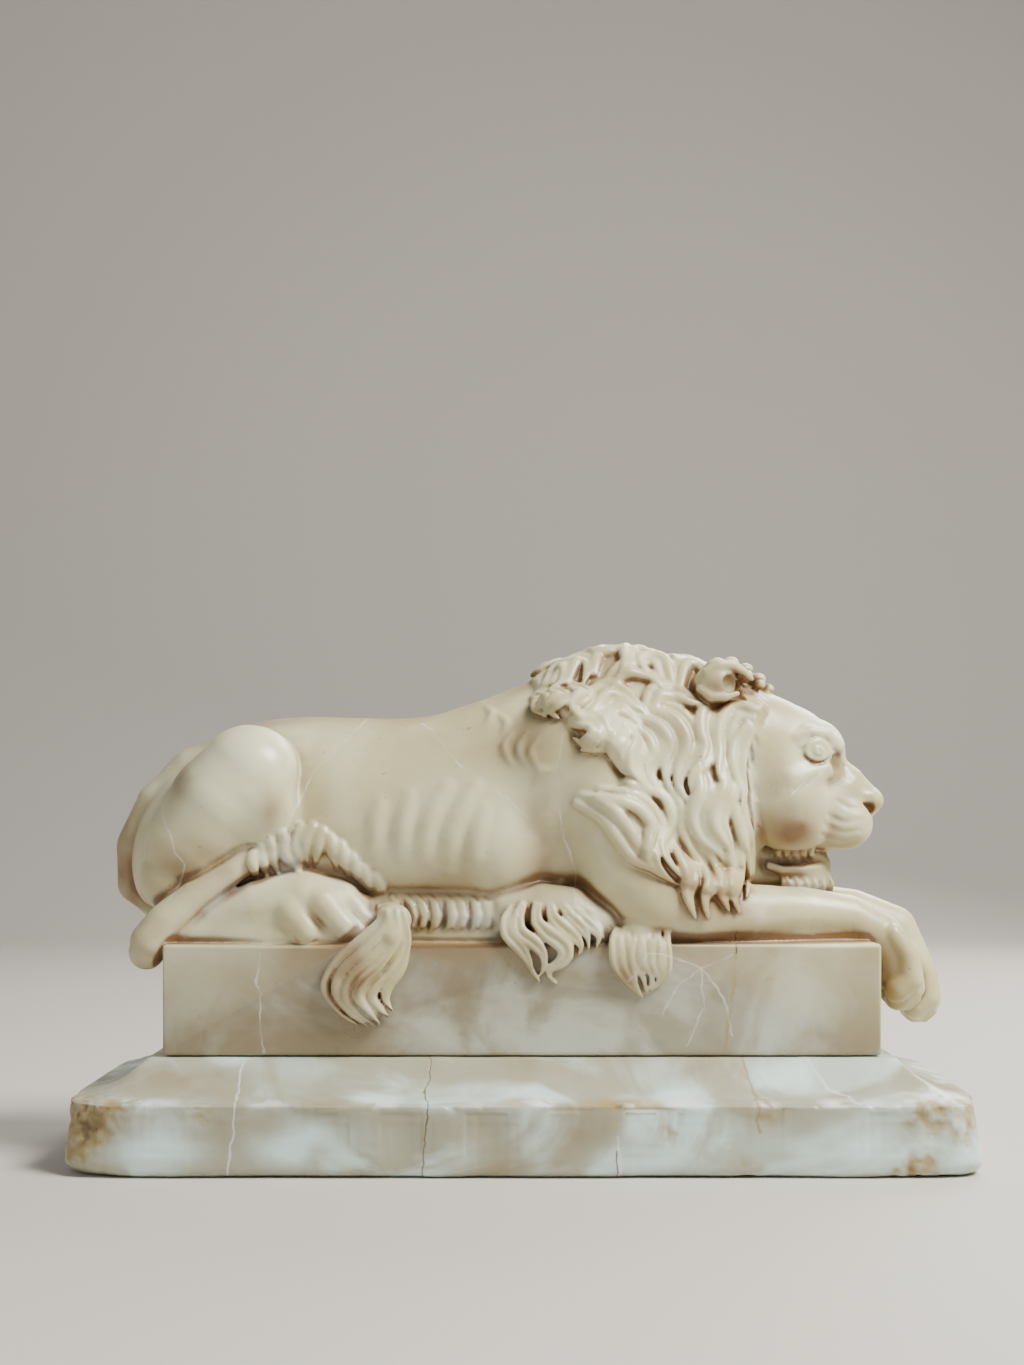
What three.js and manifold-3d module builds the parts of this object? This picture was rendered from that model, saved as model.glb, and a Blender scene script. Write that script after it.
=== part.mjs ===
// A recumbent lion of veined alabaster, carved in one stone with the block it lies on,
// standing on a second stone: a moulded base with a hollow cavetto above an upright band.
// Millimetres, +Z up, the lion faces +X, and the origin is under the middle of the base.
import * as THREE from "three";
import { mergeVertices } from "three/addons/utils/BufferGeometryUtils.js";
import Module from "manifold-3d";

// Driving dimensions of the base
const baseLength = 257;
const baseDepth = 114;
const bandHeight = 20; // the upright band under the cavetto
const cavettoHeight = 10.3;
const cavettoRun = 22.4; // how far the cavetto draws in
const cavettoSag = 2.6; // how deep it is hollowed below its chord
const cornerRadius = 12; // the worn upright corners
const footBevel = 1.6; // the worn lower edge
const cavettoSteps = 7; // flats along its curve
const bandLean = 0.8; // the band draws in this much towards its foot

// Driving dimensions of the block
const endLedge = 4.1; // base left showing past each end of the block
const sideLedge = 1.6; // and along each side
const jointGap = 0.3; // bed joint between the two stones
const blockHeight = 31.6;
const blockEdge = 0.9; // bevel along the block's edges

// The figure is modelled at a drawing size, with its feet at height 0 on a block of this length
// and depth, and is then stretched to the real block and the real height.
const drawnLength = 204;
const drawnDepth = 66;
const drawnHeight = 88;
const lionHeight = 88.4; // top of the mane above the block

// How finely the figure is worked
const cell = 1.3;
const lionTriangles = 9000;
const curveSteps = 12;
const outside = 60; // drawing units that are clear of the figure on every side

const baseHeight = bandHeight + cavettoHeight;
const blockLength = baseLength - 2 * (cavettoRun + endLedge);
const blockDepth = baseDepth - 2 * (cavettoRun + sideLedge);
const blockFoot = baseHeight + jointGap;
const blockTop = blockFoot + blockHeight;

const stretchX = blockLength / drawnLength;
const stretchY = blockDepth / drawnDepth;
const stretchZ = lionHeight / drawnHeight;
const swell = Math.cbrt(stretchX * stretchY * stretchZ);

const alabaster = new THREE.MeshStandardMaterial({ color: 0xd9cdb4, roughness: 0.42, metalness: 0 });
const baseAlabaster = new THREE.MeshStandardMaterial({ color: 0xcfcab8, roughness: 0.5, metalness: 0 });

const wasm = await Module();
wasm.setup();

const clamp = THREE.MathUtils.clamp;
const lerp = THREE.MathUtils.lerp;
const radians = THREE.MathUtils.degToRad;

// A point of the drawing in the real frame.
const place = ([x, y, z]) => new THREE.Vector3(x * stretchX, y * stretchY, blockTop + z * stretchZ);

// Forms: each has a box that holds it and a distance, negative inside.

function egg(centre, radii, lean = 0, yaw = 0) {
  const middle = place(centre);
  const [a, b, c] = radii.map((r) => r * swell);
  const euler = new THREE.Euler(0, -radians(lean), radians(yaw), "ZYX");
  const turn = new THREE.Matrix4().makeRotationFromEuler(euler);
  const e = turn.clone().invert().elements;
  const reach = Math.max(a, b, c);
  return {
    low: middle.clone().subScalar(reach),
    high: middle.clone().addScalar(reach),
    at(x, y, z) {
      const px = x - middle.x;
      const py = y - middle.y;
      const pz = z - middle.z;
      const qx = (e[0] * px + e[4] * py + e[8] * pz) / a;
      const qy = (e[1] * px + e[5] * py + e[9] * pz) / b;
      const qz = (e[2] * px + e[6] * py + e[10] * pz) / c;
      const near = Math.hypot(qx, qy, qz);
      const slope = Math.hypot(qx / a, qy / b, qz / c);
      return slope < 1e-9 ? -Math.min(a, b, c) : (near * (near - 1)) / slope;
    },
  };
}

// A limb, strand or cord of clay: points [x, y, z, radius] in drawing units.
function limb(points) {
  return tube(points.map((p) => place(p)), points.map((p) => p[3] * swell));
}

function tube(centres, radii) {
  const low = new THREE.Vector3(Infinity, Infinity, Infinity);
  const high = low.clone().negate();
  centres.forEach((c, i) => {
    low.min(c.clone().subScalar(radii[i]));
    high.max(c.clone().addScalar(radii[i]));
  });
  const spans = [];
  for (let i = 1; i < centres.length; i++) {
    const a = centres[i - 1];
    const d = centres[i].clone().sub(a);
    const long2 = Math.max(d.lengthSq(), 1e-9);
    spans.push([a.x, a.y, a.z, d.x, d.y, d.z, long2, radii[i - 1], radii[i] - radii[i - 1]]);
  }
  return {
    low,
    high,
    at(x, y, z) {
      let least = Infinity;
      for (const [ax, ay, az, dx, dy, dz, dd, r, dr] of spans) {
        const px = x - ax;
        const py = y - ay;
        const pz = z - az;
        const t = clamp((px * dx + py * dy + pz * dz) / dd, 0, 1);
        least = Math.min(least, Math.hypot(px - dx * t, py - dy * t, pz - dz * t) - r - dr * t);
      }
      return least;
    },
  };
}

// A smooth value between stations [x, value...], by Catmull-Rom.
function between(stations, x, column) {
  let i = 1;
  while (i < stations.length - 1 && x > stations[i][0]) i++;
  const [a, b] = [stations[i - 1], stations[i]];
  const before = stations[Math.max(i - 2, 0)];
  const after = stations[Math.min(i + 1, stations.length - 1)];
  const run = b[0] - a[0];
  const t = clamp((x - a[0]) / run, 0, 1);
  const slopeA = (b[column] - before[column]) / (b[0] - before[0]);
  const slopeB = (after[column] - a[column]) / (after[0] - a[0]);
  const t2 = t * t;
  const t3 = t2 * t;
  return (2 * t3 - 3 * t2 + 1) * a[column] + (t3 - 2 * t2 + t) * run * slopeA
    + (3 * t2 - 2 * t3) * b[column] + (t3 - t2) * run * slopeB;
}

// A body lofted along X through stations [x, top, bottom, half width], slimmer above by the taper.
function loft(stations, taper) {
  const first = stations[0][0];
  const last = stations[stations.length - 1][0];
  const widest = Math.max(...stations.map((s) => s[3]));
  const tallest = Math.max(...stations.map((s) => s[1]));
  const lowest = Math.min(...stations.map((s) => s[2]));
  return {
    low: place([first, -widest, lowest]),
    high: place([last, widest, tallest]),
    at(x, y, z) {
      const px = x / stretchX;
      const py = y / stretchY;
      const pz = (z - blockTop) / stretchZ;
      const sx = clamp(px, first, last);
      const top = between(stations, sx, 1);
      const bottom = between(stations, sx, 2);
      const half = (top - bottom) / 2;
      const rise = (pz - (top + bottom) / 2) / half;
      const wide = between(stations, sx, 3) * (1 - taper * clamp(rise, -1, 1));
      const around = Math.hypot(py / wide, rise);
      const inward = (around - 1) * Math.min(wide, half);
      const past = Math.abs(px - sx);
      return (past > 0 ? Math.hypot(Math.max(inward, 0), past) + Math.min(inward, 0) : inward) * swell;
    },
  };
}

function slab(low, high) {
  return {
    low,
    high,
    at(x, y, z) {
      const dx = Math.max(low.x - x, x - high.x);
      const dy = Math.max(low.y - y, y - high.y);
      const dz = Math.max(low.z - z, z - high.z);
      const outside = Math.hypot(Math.max(dx, 0), Math.max(dy, 0), Math.max(dz, 0));
      return outside + Math.min(Math.max(dx, dy, dz), 0);
    },
  };
}

// A block of clay on a grid. Forms are pressed on or cut away with a fillet where they meet.
class Clay {
  constructor(low, high, step) {
    this.low = low;
    this.step = step;
    this.size = high.clone().sub(low).divideScalar(step).ceil().addScalar(1);
    this.values = new Float32Array(this.size.x * this.size.y * this.size.z).fill(outside);
  }

  index(i, j, k) {
    return i + this.size.x * (j + this.size.y * k);
  }

  each(form, margin, change) {
    const range = ["x", "y", "z"].map((axis) => [
      Math.max(0, Math.floor((form.low[axis] - margin - this.low[axis]) / this.step)),
      Math.min(this.size[axis] - 1, Math.ceil((form.high[axis] + margin - this.low[axis]) / this.step)),
    ]);
    for (let k = range[2][0]; k <= range[2][1]; k++)
      for (let j = range[1][0]; j <= range[1][1]; j++)
        for (let i = range[0][0]; i <= range[0][1]; i++) {
          const n = this.index(i, j, k);
          const d = form.at(this.low.x + i * this.step, this.low.y + j * this.step, this.low.z + k * this.step);
          this.values[n] = change(this.values[n], d);
        }
  }

  add(form, fillet) {
    const k = fillet * swell;
    this.each(form, k + 3 * this.step, (a, b) => {
      const h = Math.max(k - Math.abs(a - b), 0) / k;
      return Math.min(a, b) - (h * h * k) / 4;
    });
  }

  // Thickens the clay inside an outline drawn in x and z, fading in over the rim.
  raiseInside(outline, heightAt, rim) {
    for (let k = 0; k < this.size.z; k++)
      for (let i = 0; i < this.size.x; i++) {
        const x = (this.low.x + i * this.step) / stretchX;
        const z = (this.low.z + k * this.step - blockTop) / stretchZ;
        const t = clamp(depthInside(outline, x, z) / rim, 0, 1);
        const more = heightAt(z) * swell * t * t * (3 - 2 * t);
        if (more === 0) continue;
        for (let j = 0; j < this.size.y; j++) this.values[this.index(i, j, k)] -= more;
      }
  }

  cut(form, fillet) {
    const k = fillet * swell;
    this.each(form, k + 3 * this.step, (a, b) => {
      const h = Math.max(k - Math.abs(a + b), 0) / k;
      return Math.max(a, -b) + (h * h * k) / 4;
    });
  }

  // Fills every hollow that no path leads out of once the given form stands in the clay.
  fillSealed(form) {
    const open = new Uint8Array(this.values.length);
    const clear = (i, j, k) => {
      const d = form.at(this.low.x + i * this.step, this.low.y + j * this.step, this.low.z + k * this.step);
      return d > this.step / 2 && this.values[this.index(i, j, k)] > 0;
    };
    const beside = (i, j, k, visit) => {
      for (const [di, dj, dk] of [[1, 0, 0], [-1, 0, 0], [0, 1, 0], [0, -1, 0], [0, 0, 1], [0, 0, -1]]) {
        const [a, b, c] = [i + di, j + dj, k + dk];
        const within = Math.min(a, b, c) >= 0 && a < this.size.x && b < this.size.y && c < this.size.z;
        if (within) visit(a, b, c);
      }
    };
    const reached = [[0, 0, 0]];
    open[0] = 1;
    while (reached.length) {
      beside(...reached.pop(), (a, b, c) => {
        if (open[this.index(a, b, c)] || !clear(a, b, c)) return;
        open[this.index(a, b, c)] = 1;
        reached.push([a, b, c]);
      });
    }
    const fill = (i, j, k) => {
      const n = this.index(i, j, k);
      if (!open[n]) this.values[n] = Math.min(this.values[n], -this.step / 4);
    };
    for (let k = 0; k < this.size.z; k++)
      for (let j = 0; j < this.size.y; j++)
        for (let i = 0; i < this.size.x; i++) {
          if (open[this.index(i, j, k)] || !clear(i, j, k)) continue;
          beside(i, j, k, fill);
          open[this.index(i, j, k)] = 2;
        }
    for (let n = 0; n < open.length; n++) if (open[n] === 2) this.values[n] = -this.step / 4;
  }

  sample(p) {
    const f = p.clone().sub(this.low).divideScalar(this.step);
    const i = clamp(Math.floor(f.x), 0, this.size.x - 2);
    const j = clamp(Math.floor(f.y), 0, this.size.y - 2);
    const k = clamp(Math.floor(f.z), 0, this.size.z - 2);
    const [u, v, w] = [f.x - i, f.y - j, f.z - k];
    let sum = 0;
    for (const [a, b, c] of corners) {
      const share = (a ? u : 1 - u) * (b ? v : 1 - v) * (c ? w : 1 - w);
      sum += share * this.values[this.index(i + a, j + b, k + c)];
    }
    return sum;
  }

  // The same clay as it stands now, for laying locks on it
  snapshot() {
    const copy = new Clay(this.low, this.low, this.step);
    copy.size = this.size;
    copy.values = this.values.slice();
    return copy;
  }

  normal(p) {
    const slope = (axis) => {
      const [ahead, behind] = [p.clone(), p.clone()];
      ahead[axis] += this.step;
      behind[axis] -= this.step;
      return this.sample(ahead) - this.sample(behind);
    };
    return new THREE.Vector3(slope("x"), slope("y"), slope("z")).normalize();
  }

  // Where a line from outside, heading inwards, first meets the clay.
  touch(from, heading) {
    const p = from.clone();
    for (let n = 0; n < 160; n++) {
      const d = this.sample(p);
      if (d < 0.05) break;
      p.addScaledVector(heading, Math.min(d, 2 * this.step) * 0.8);
    }
    return p;
  }
}

// How deep a point lies inside an outline, or 0 outside it
function depthInside(outline, x, z) {
  let inside = false;
  let away = Infinity;
  outline.forEach(([ax, az], i) => {
    const [bx, bz] = outline[(i + 1) % outline.length];
    const [ex, ez] = [bx - ax, bz - az];
    const t = clamp(((x - ax) * ex + (z - az) * ez) / (ex * ex + ez * ez), 0, 1);
    away = Math.min(away, Math.hypot(x - ax - ex * t, z - az - ez * t));
    if (az > z !== bz > z && x < ax + (ex * (z - az)) / ez) inside = !inside;
  });
  return inside ? away : 0;
}

const corners = [[0, 0, 0], [1, 0, 0], [0, 1, 0], [1, 1, 0], [0, 0, 1], [1, 0, 1], [0, 1, 1], [1, 1, 1]];

// Marching tetrahedra: each cell is six tetrahedra round its long diagonal, which leaves no hole.
const tetrahedra = [[0, 1, 3, 7], [0, 3, 2, 7], [0, 2, 6, 7], [0, 6, 4, 7], [0, 4, 5, 7], [0, 5, 1, 7]];

function skin(clay) {
  const { size, values, step, low } = clay;
  const points = [];
  const triangles = [];
  const made = new Map();
  const offsets = corners.map(([a, b, c]) => clay.index(a, b, c));
  const onEdge = (n, a, b) => {
    const [from, to] = a < b ? [a, b] : [b, a];
    const start = n + offsets[from];
    const key = start * 8 + (to ^ from);
    let id = made.get(key);
    if (id === undefined) {
      const da = values[start];
      const db = values[n + offsets[to]];
      const t = clamp(da / (da - db), 0.02, 0.98);
      const i = start % size.x;
      const j = Math.floor(start / size.x) % size.y;
      const k = Math.floor(start / (size.x * size.y));
      const way = corners[to ^ from];
      id = points.length / 3;
      points.push(low.x + (i + way[0] * t) * step);
      points.push(low.y + (j + way[1] * t) * step);
      points.push(low.z + (k + way[2] * t) * step);
      made.set(key, id);
    }
    return id;
  };
  const face = (a, b, c) => {
    if (a !== b && b !== c && a !== c) triangles.push(a, b, c);
  };
  for (let k = 0; k < size.z - 1; k++)
    for (let j = 0; j < size.y - 1; j++)
      for (let i = 0; i < size.x - 1; i++) {
        const n = clay.index(i, j, k);
        let inside = 0;
        for (let c = 0; c < 8; c++) inside += values[n + offsets[c]] < 0 ? 1 : 0;
        if (inside === 0 || inside === 8) continue;
        for (const tet of tetrahedra) {
          const solid = tet.filter((c) => values[n + offsets[c]] < 0);
          const empty = tet.filter((c) => values[n + offsets[c]] >= 0);
          if (!solid.length || !empty.length) continue;
          // The order of the corners, solid first, says which way the faces turn.
          const order = [...solid, ...empty];
          const flip = parity(order.map((c) => tet.indexOf(c)));
          const cross = (a, b) => onEdge(n, a, b);
          const turned = (a, b, c) => (flip ? face(a, c, b) : face(a, b, c));
          if (solid.length === 1) {
            turned(cross(order[0], order[1]), cross(order[0], order[2]), cross(order[0], order[3]));
          } else if (solid.length === 3) {
            turned(cross(order[0], order[3]), cross(order[1], order[3]), cross(order[2], order[3]));
          } else {
            const [p, q] = [cross(order[0], order[2]), cross(order[0], order[3])];
            const [r, s] = [cross(order[1], order[3]), cross(order[1], order[2])];
            turned(p, q, r);
            turned(p, r, s);
          }
        }
      }
  return { points: new Float64Array(points), triangles: new Uint32Array(triangles) };
}

function parity(order) {
  let swaps = 0;
  for (let i = 0; i < order.length; i++)
    for (let j = i + 1; j < order.length; j++) if (order[i] > order[j]) swaps++;
  return swaps % 2 === 1;
}

// Joins short edges, least error first, until the wanted number of triangles is left. Each
// point keeps the sum of the squared distances to its planes, and care says where they count more.
function simplify({ points, triangles }, wanted, care) {
  const count = points.length / 3;
  const quadrics = new Float64Array(count * 10);
  const around = Array.from({ length: count }, () => new Set());
  const alive = new Uint8Array(triangles.length / 3).fill(1);
  const stamp = new Uint32Array(count);
  const corner = (t, c) => triangles[t * 3 + c];
  const at = (v) => [points[v * 3], points[v * 3 + 1], points[v * 3 + 2]];
  const normalOf = (a, b, c) => {
    const [ux, uy, uz] = [b[0] - a[0], b[1] - a[1], b[2] - a[2]];
    const [vx, vy, vz] = [c[0] - a[0], c[1] - a[1], c[2] - a[2]];
    return [uy * vz - uz * vy, uz * vx - ux * vz, ux * vy - uy * vx];
  };
  for (let t = 0; t < alive.length; t++) {
    const [a, b, c] = [corner(t, 0), corner(t, 1), corner(t, 2)];
    around[a].add(t);
    around[b].add(t);
    around[c].add(t);
    const p = at(a);
    const n = normalOf(p, at(b), at(c));
    const area = Math.hypot(...n);
    if (area < 1e-12) continue;
    const [nx, ny, nz] = n.map((v) => v / area);
    const d = -(nx * p[0] + ny * p[1] + nz * p[2]);
    const w = area * care(...p);
    const q = [nx * nx, nx * ny, nx * nz, nx * d, ny * ny, ny * nz, ny * d, nz * nz, nz * d, d * d];
    for (const v of [a, b, c]) for (let i = 0; i < 10; i++) quadrics[v * 10 + i] += q[i] * w;
  }
  const q = new Float64Array(10);
  const cost = (x, y, z) => q[0] * x * x + 2 * q[1] * x * y + 2 * q[2] * x * z + 2 * q[3] * x
    + q[4] * y * y + 2 * q[5] * y * z + 2 * q[6] * y + q[7] * z * z + 2 * q[8] * z + q[9];
  // The best place for the point that two points become: solved, or else an end or the middle
  const best = (u, v) => {
    for (let i = 0; i < 10; i++) q[i] = quadrics[u * 10 + i] + quadrics[v * 10 + i];
    const [ux, uy, uz] = [points[u * 3], points[u * 3 + 1], points[u * 3 + 2]];
    const [vx, vy, vz] = [points[v * 3], points[v * 3 + 1], points[v * 3 + 2]];
    const span2 = (ux - vx) ** 2 + (uy - vy) ** 2 + (uz - vz) ** 2;
    const [mx, my, mz] = [(ux + vx) / 2, (uy + vy) / 2, (uz + vz) / 2];
    const [a, b, c, e, f, i] = [q[0], q[1], q[2], q[4], q[5], q[7]];
    const det = a * (e * i - f * f) - b * (b * i - f * c) + c * (b * f - e * c);
    if (Math.abs(det) > 1e-8 * (a + e + i) ** 3) {
      const [x, y, z] = [-q[3], -q[6], -q[8]];
      const sx = (x * (e * i - f * f) - b * (y * i - f * z) + c * (y * f - e * z)) / det;
      const sy = (a * (y * i - f * z) - x * (b * i - f * c) + c * (b * z - y * c)) / det;
      const sz = (a * (e * z - y * f) - b * (b * z - y * c) + x * (b * f - e * c)) / det;
      if ((sx - mx) ** 2 + (sy - my) ** 2 + (sz - mz) ** 2 < 2 * span2) {
        return [Math.max(cost(sx, sy, sz), 0) + 1e-6 * span2, sx, sy, sz];
      }
    }
    const [cu, cv, cm] = [cost(ux, uy, uz), cost(vx, vy, vz), cost(mx, my, mz)];
    const least = Math.min(cu, cv, cm);
    const spot = least === cm ? [mx, my, mz] : least === cu ? [ux, uy, uz] : [vx, vy, vz];
    return [Math.max(least, 0) + 1e-6 * span2, ...spot];
  };
  const heap = [];
  const push = (item) => {
    let i = heap.push(item) - 1;
    while (i > 0) {
      const up = (i - 1) >> 1;
      if (heap[up].cost <= item.cost) break;
      heap[i] = heap[up];
      i = up;
    }
    heap[i] = item;
  };
  const pop = () => {
    const least = heap[0];
    const item = heap.pop();
    if (heap.length) {
      let i = 0;
      for (;;) {
        let next = 2 * i + 1;
        if (next >= heap.length) break;
        if (next + 1 < heap.length && heap[next + 1].cost < heap[next].cost) next++;
        if (heap[next].cost >= item.cost) break;
        heap[i] = heap[next];
        i = next;
      }
      heap[i] = item;
    }
    return least;
  };
  const neighbours = (v) => {
    const found = new Set();
    for (const t of around[v]) for (let c = 0; c < 3; c++) found.add(corner(t, c));
    found.delete(v);
    return found;
  };
  const queue = (u, v) => {
    const [value, x, y, z] = best(u, v);
    push({ u, v, su: stamp[u], sv: stamp[v], cost: value, x, y, z });
  };
  for (let v = 0; v < count; v++) for (const n of neighbours(v)) if (v < n) queue(v, n);
  const turnsOver = (v, other, spot) => {
    for (const t of around[v]) {
      const ids = [corner(t, 0), corner(t, 1), corner(t, 2)];
      if (ids.includes(other)) continue;
      const before = normalOf(...ids.map(at));
      const after = normalOf(...ids.map((id) => (id === v ? spot : at(id))));
      const dot = before[0] * after[0] + before[1] * after[1] + before[2] * after[2];
      if (dot < 0.25 * Math.hypot(...before) * Math.hypot(...after)) return true;
    }
    return false;
  };
  let left = alive.length;
  while (left > wanted && heap.length) {
    const { u, v, su, sv, x, y, z } = pop();
    const spot = [x, y, z];
    if (su !== stamp[u] || sv !== stamp[v] || !around[u].size || !around[v].size) continue;
    const nu = neighbours(u);
    if (!nu.has(v)) continue;
    const shared = [...neighbours(v)].filter((n) => nu.has(n));
    if (shared.length !== 2 || turnsOver(u, v, spot) || turnsOver(v, u, spot)) continue;
    for (let i = 0; i < 3; i++) points[u * 3 + i] = spot[i];
    for (let i = 0; i < 10; i++) quadrics[u * 10 + i] += quadrics[v * 10 + i];
    for (const t of [...around[v]]) {
      const ids = [corner(t, 0), corner(t, 1), corner(t, 2)];
      if (ids.includes(u)) {
        alive[t] = 0;
        left--;
        for (const id of ids) around[id].delete(t);
      } else {
        triangles[t * 3 + ids.indexOf(v)] = u;
        around[u].add(t);
      }
    }
    around[v].clear();
    stamp[u]++;
    stamp[v]++;
    for (const n of neighbours(u)) queue(u, n);
  }
  const kept = [];
  for (let t = 0; t < alive.length; t++) if (alive[t]) kept.push(corner(t, 0), corner(t, 1), corner(t, 2));
  return { points, triangles: kept };
}

// The lion, in drawing units: x along, y across with the near side negative, z above the block.

// Stations [x, top, bottom, half width] of the trunk, from the rump to the throat
const trunk = [
  [-110, 42, 12, 7], [-105, 51, 8, 12], [-98, 56.5, 5, 17], [-88, 61.4, 3, 21], [-76, 64.8, 3, 22],
  [-64, 65.8, 4, 22.5], [-50, 65.6, 6, 23.5], [-38, 65.4, 6, 25], [-26, 66.4, 6, 27], [-14, 70.2, 5, 28],
  [-4, 74, 4, 27.6], [6, 77.4, 3, 25.4], [16, 80.6, 3, 24.6], [30, 83, 2, 24.6], [44, 80.6, 3, 23],
  [56, 77.6, 8, 20], [66, 72, 16, 16.4],
];
const trunkTaper = 0.22;

// Knuckle, tip and radius of each toe of the hind foot
const hindToes = [
  [[-66, -29, 9.4], [-61.4, -30.6, 3.4], 4.4], [[-57, -28.4, 11.4], [-50.6, -29.6, 4.2], 4.5],
  [[-51, -24, 12.4], [-44.8, -25.4, 6.2], 4.2], [[-51, -18, 11.6], [-44.4, -19.4, 7], 4.2],
];

// How far each toe of the forepaw lies across, drops and bulges
const foreToes = [[-13.4, -13.2, 0], [-10, -16, 1.2], [-6.4, -16.4, 1.4], [-3, -15, 0.6]];

// Limbs and muscles that both flanks have. Side is -1 for the near flank and 1 for the far one.
function flank(clay, side) {
  const cord = (points, fillet) => clay.add(limb(points.map(([x, y, z, r]) => [x, -y * side, z, r])), fillet);
  const lump = ([x, y, z], radii, lean, fillet) => clay.add(egg([x, -y * side, z], radii, lean), fillet);
  // Hind leg: buttock, thigh over the knee, then the shank and the hock past the end of the block
  lump([-102, -10, 28], [12, 10, 20], -18, 4);
  cord([
    [-79.6, -15.6, 48, 14.8], [-87, -15.4, 39, 16.4], [-96, -16, 27, 14.2], [-101.4, -17.4, 18, 9.8],
  ], 1.2);
  lump([-77, -18.6, 39], [12, 12, 15], 20, 3);
  cord([
    [-76, -21, 27, 4.6], [-84, -25, 20.2, 4], [-94, -27, 13.4, 4.6],
    [-102, -27.4, 6.2, 5.4], [-106.4, -27.4, 0.4, 5.9], [-107.6, -27, -2.4, 5.2],
  ], 1.2);
  // Hind foot along the block, with its toes
  cord([
    [-100, -23, 1, 4], [-88, -23, 6, 6.4], [-76, -23.4, 9.6, 8],
    [-63, -23, 11.4, 9.2], [-55, -22.4, 9.8, 8.6], [-49, -21.6, 8, 6.6],
  ], 2);
  cord([[-100, -24, 1.4, 4], [-72, -26, 2, 6], [-48, -26, 1.6, 5.4]], 3);
  for (const [knuckle, tip, r] of hindToes) {
    const middle = knuckle.map((v, axis) => (v + tip[axis]) / 2);
    cord([[...knuckle, r + 0.3], [...middle, r - 0.3], [...tip, r - 0.7]], 1.2);
  }
  // Swell of the belly, shoulder blade, upper arm and elbow
  lump([-6, -18, 25], [11, 11.2, 13], 0, 5);
  lump([12, -17.4, 51], [15, 12, 20], -24, 6);
  cord([[21, -16.6, 50, 13], [24.6, -18.6, 36, 13.2], [30, -21.4, 21, 13], [38, -23.6, 12.4, 11.8]], 4);
  // Forearm, wrist and paw, which hangs over the end of the block: the far one reaches further
  const out = side < 0 ? 0 : 1;
  cord([
    [38, -23.6, 12.4, 11.8], [50, -22.6, 8.6, 10.2], [64, -19.5, 8, 8.6], [82, -13, 8 + out, 7.4],
    [96 + 5 * out, -9.4, 6 + 0.8 * out, 7.2], [106 + 7 * out, -8.2, 0.4 + 1.4 * out, 7.4],
    [110 + 8 * out, -8, -8 - 2 * out, 7.6],
  ], 2);
  cord([[32, -23, 2, 8], [64, -18, 2, 7], [98, -8.4, 0, 6.4]], 2);
  for (const [y, drop, bulge] of foreToes) {
    const z = drop - 4.8 * out;
    const x = 109 + bulge + 8 * out;
    cord([
      [x, y, z + 15, 3], [x + 4.2, y, z + 8.6, 3.7], [x + 4.8, y, z + 2, 4.2], [x + 1.4, y, z - 1, 4],
    ], 0.9);
  }
}

// Skull and muzzle, with the brow, eye, nostril and open mouth
function head(clay) {
  clay.add(egg([68, 0, 55], [20, 17, 18]), 4);
  clay.add(limb([[70, 0, 58, 14.8], [81, 0, 56.6, 12], [87.4, 0, 55.6, 9.8]]), 4);
  clay.add(limb([[89, 0, 50, 7.6], [97, 0, 45.4, 6.4], [103.2, 0, 40.8, 4.8]]), 2);
  clay.add(egg([104.8, 0, 41], [4, 4.9, 3.7], -20), 1);
  clay.add(egg([89, 0, 38], [15, 11, 12.4]), 4);
  for (const side of [-1, 1]) {
    const cord = (points) => limb(points.map(([x, y, z, r]) => [x, side * y, z, r]));
    clay.add(egg([77, side * 10, 41], [13, 8, 14.6], 10), 4);
    clay.add(egg([81, side * 9.4, 33.4], [9.4, 5.6, 7.4]), 3);
    clay.add(egg([96.4, side * 5, 33.8], [8.2, 6.4, 7.4]), 2);
    clay.add(cord([[80.6, 12.6, 59.6, 1.2], [85, 11.6, 61, 1.8], [90, 9.4, 60, 2.2]]), 2);
    clay.add(cord([[92, 8, 51, 3], [86, 12.4, 48.4, 2.6], [79, 14.6, 46.6, 2.6]]), 2.4);
    clay.cut(egg([87, side * 14, 55.4], [5, 4, 3.8], -16), 1);
    clay.add(egg([86.2, side * 10.6, 55.2], [3.6, 3.6, 3.6]), 0.3);
    clay.cut(cord([[101.2, 6.1, 39, 1.1], [103.4, 4.9, 38.2, 2.1]]), 0.3);
    clay.add(cord([[100.6, 4.8, 42, 1.7], [104, 4, 42, 2], [106.4, 2.8, 40.8, 1.8]]), 0.8);
  }
  // Lower jaw, then the gap of the mouth and what fills it inside
  clay.add(limb([[60, 0, 22, 12], [72, 0, 18, 8]]), 3);
  clay.add(egg([80, 0, 17.6], [13, 8.6, 4.2]), 1.5);
  clay.add(egg([87, 0, 19], [5.8, 6.4, 4.8], -20), 2);
  for (const side of [-1, 1]) {
    const gap = [[75, 11, 24, 2.3], [82, 9.6, 24.2, 2.5], [89.6, 6.4, 25, 1.7], [96, 0, 26, 1.2]];
    clay.cut(limb(gap.map(([x, y, z, r]) => [x, side * y, z, r])), 0.6);
  }
  clay.add(limb([[62, 0, 24, 9], [80, 0, 24, 6.8], [86, 0, 24, 4.6], [88.4, 0, 23.6, 3.6]]), 0.8);
}

// A smooth curve through a few points of any number of coordinates
function through(points, t) {
  const spans = points.length - 1;
  const i = clamp(Math.floor(t * spans), 0, spans - 1);
  const f = t * spans - i;
  const beyond = (from, next) => from.map((v, axis) => 2 * v - next[axis]);
  const [b, c] = [points[i], points[i + 1]];
  const a = points[i - 1] ?? beyond(b, c);
  const d = points[i + 2] ?? beyond(c, b);
  return b.map((v, axis) => {
    const [p, r, s] = [a[axis], c[axis], d[axis]];
    return v + ((r - p) * f + (2 * p - 5 * v + 4 * r - s) * f * f + (3 * v - p - 3 * r + s) * f * f * f) / 2;
  });
}

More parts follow.
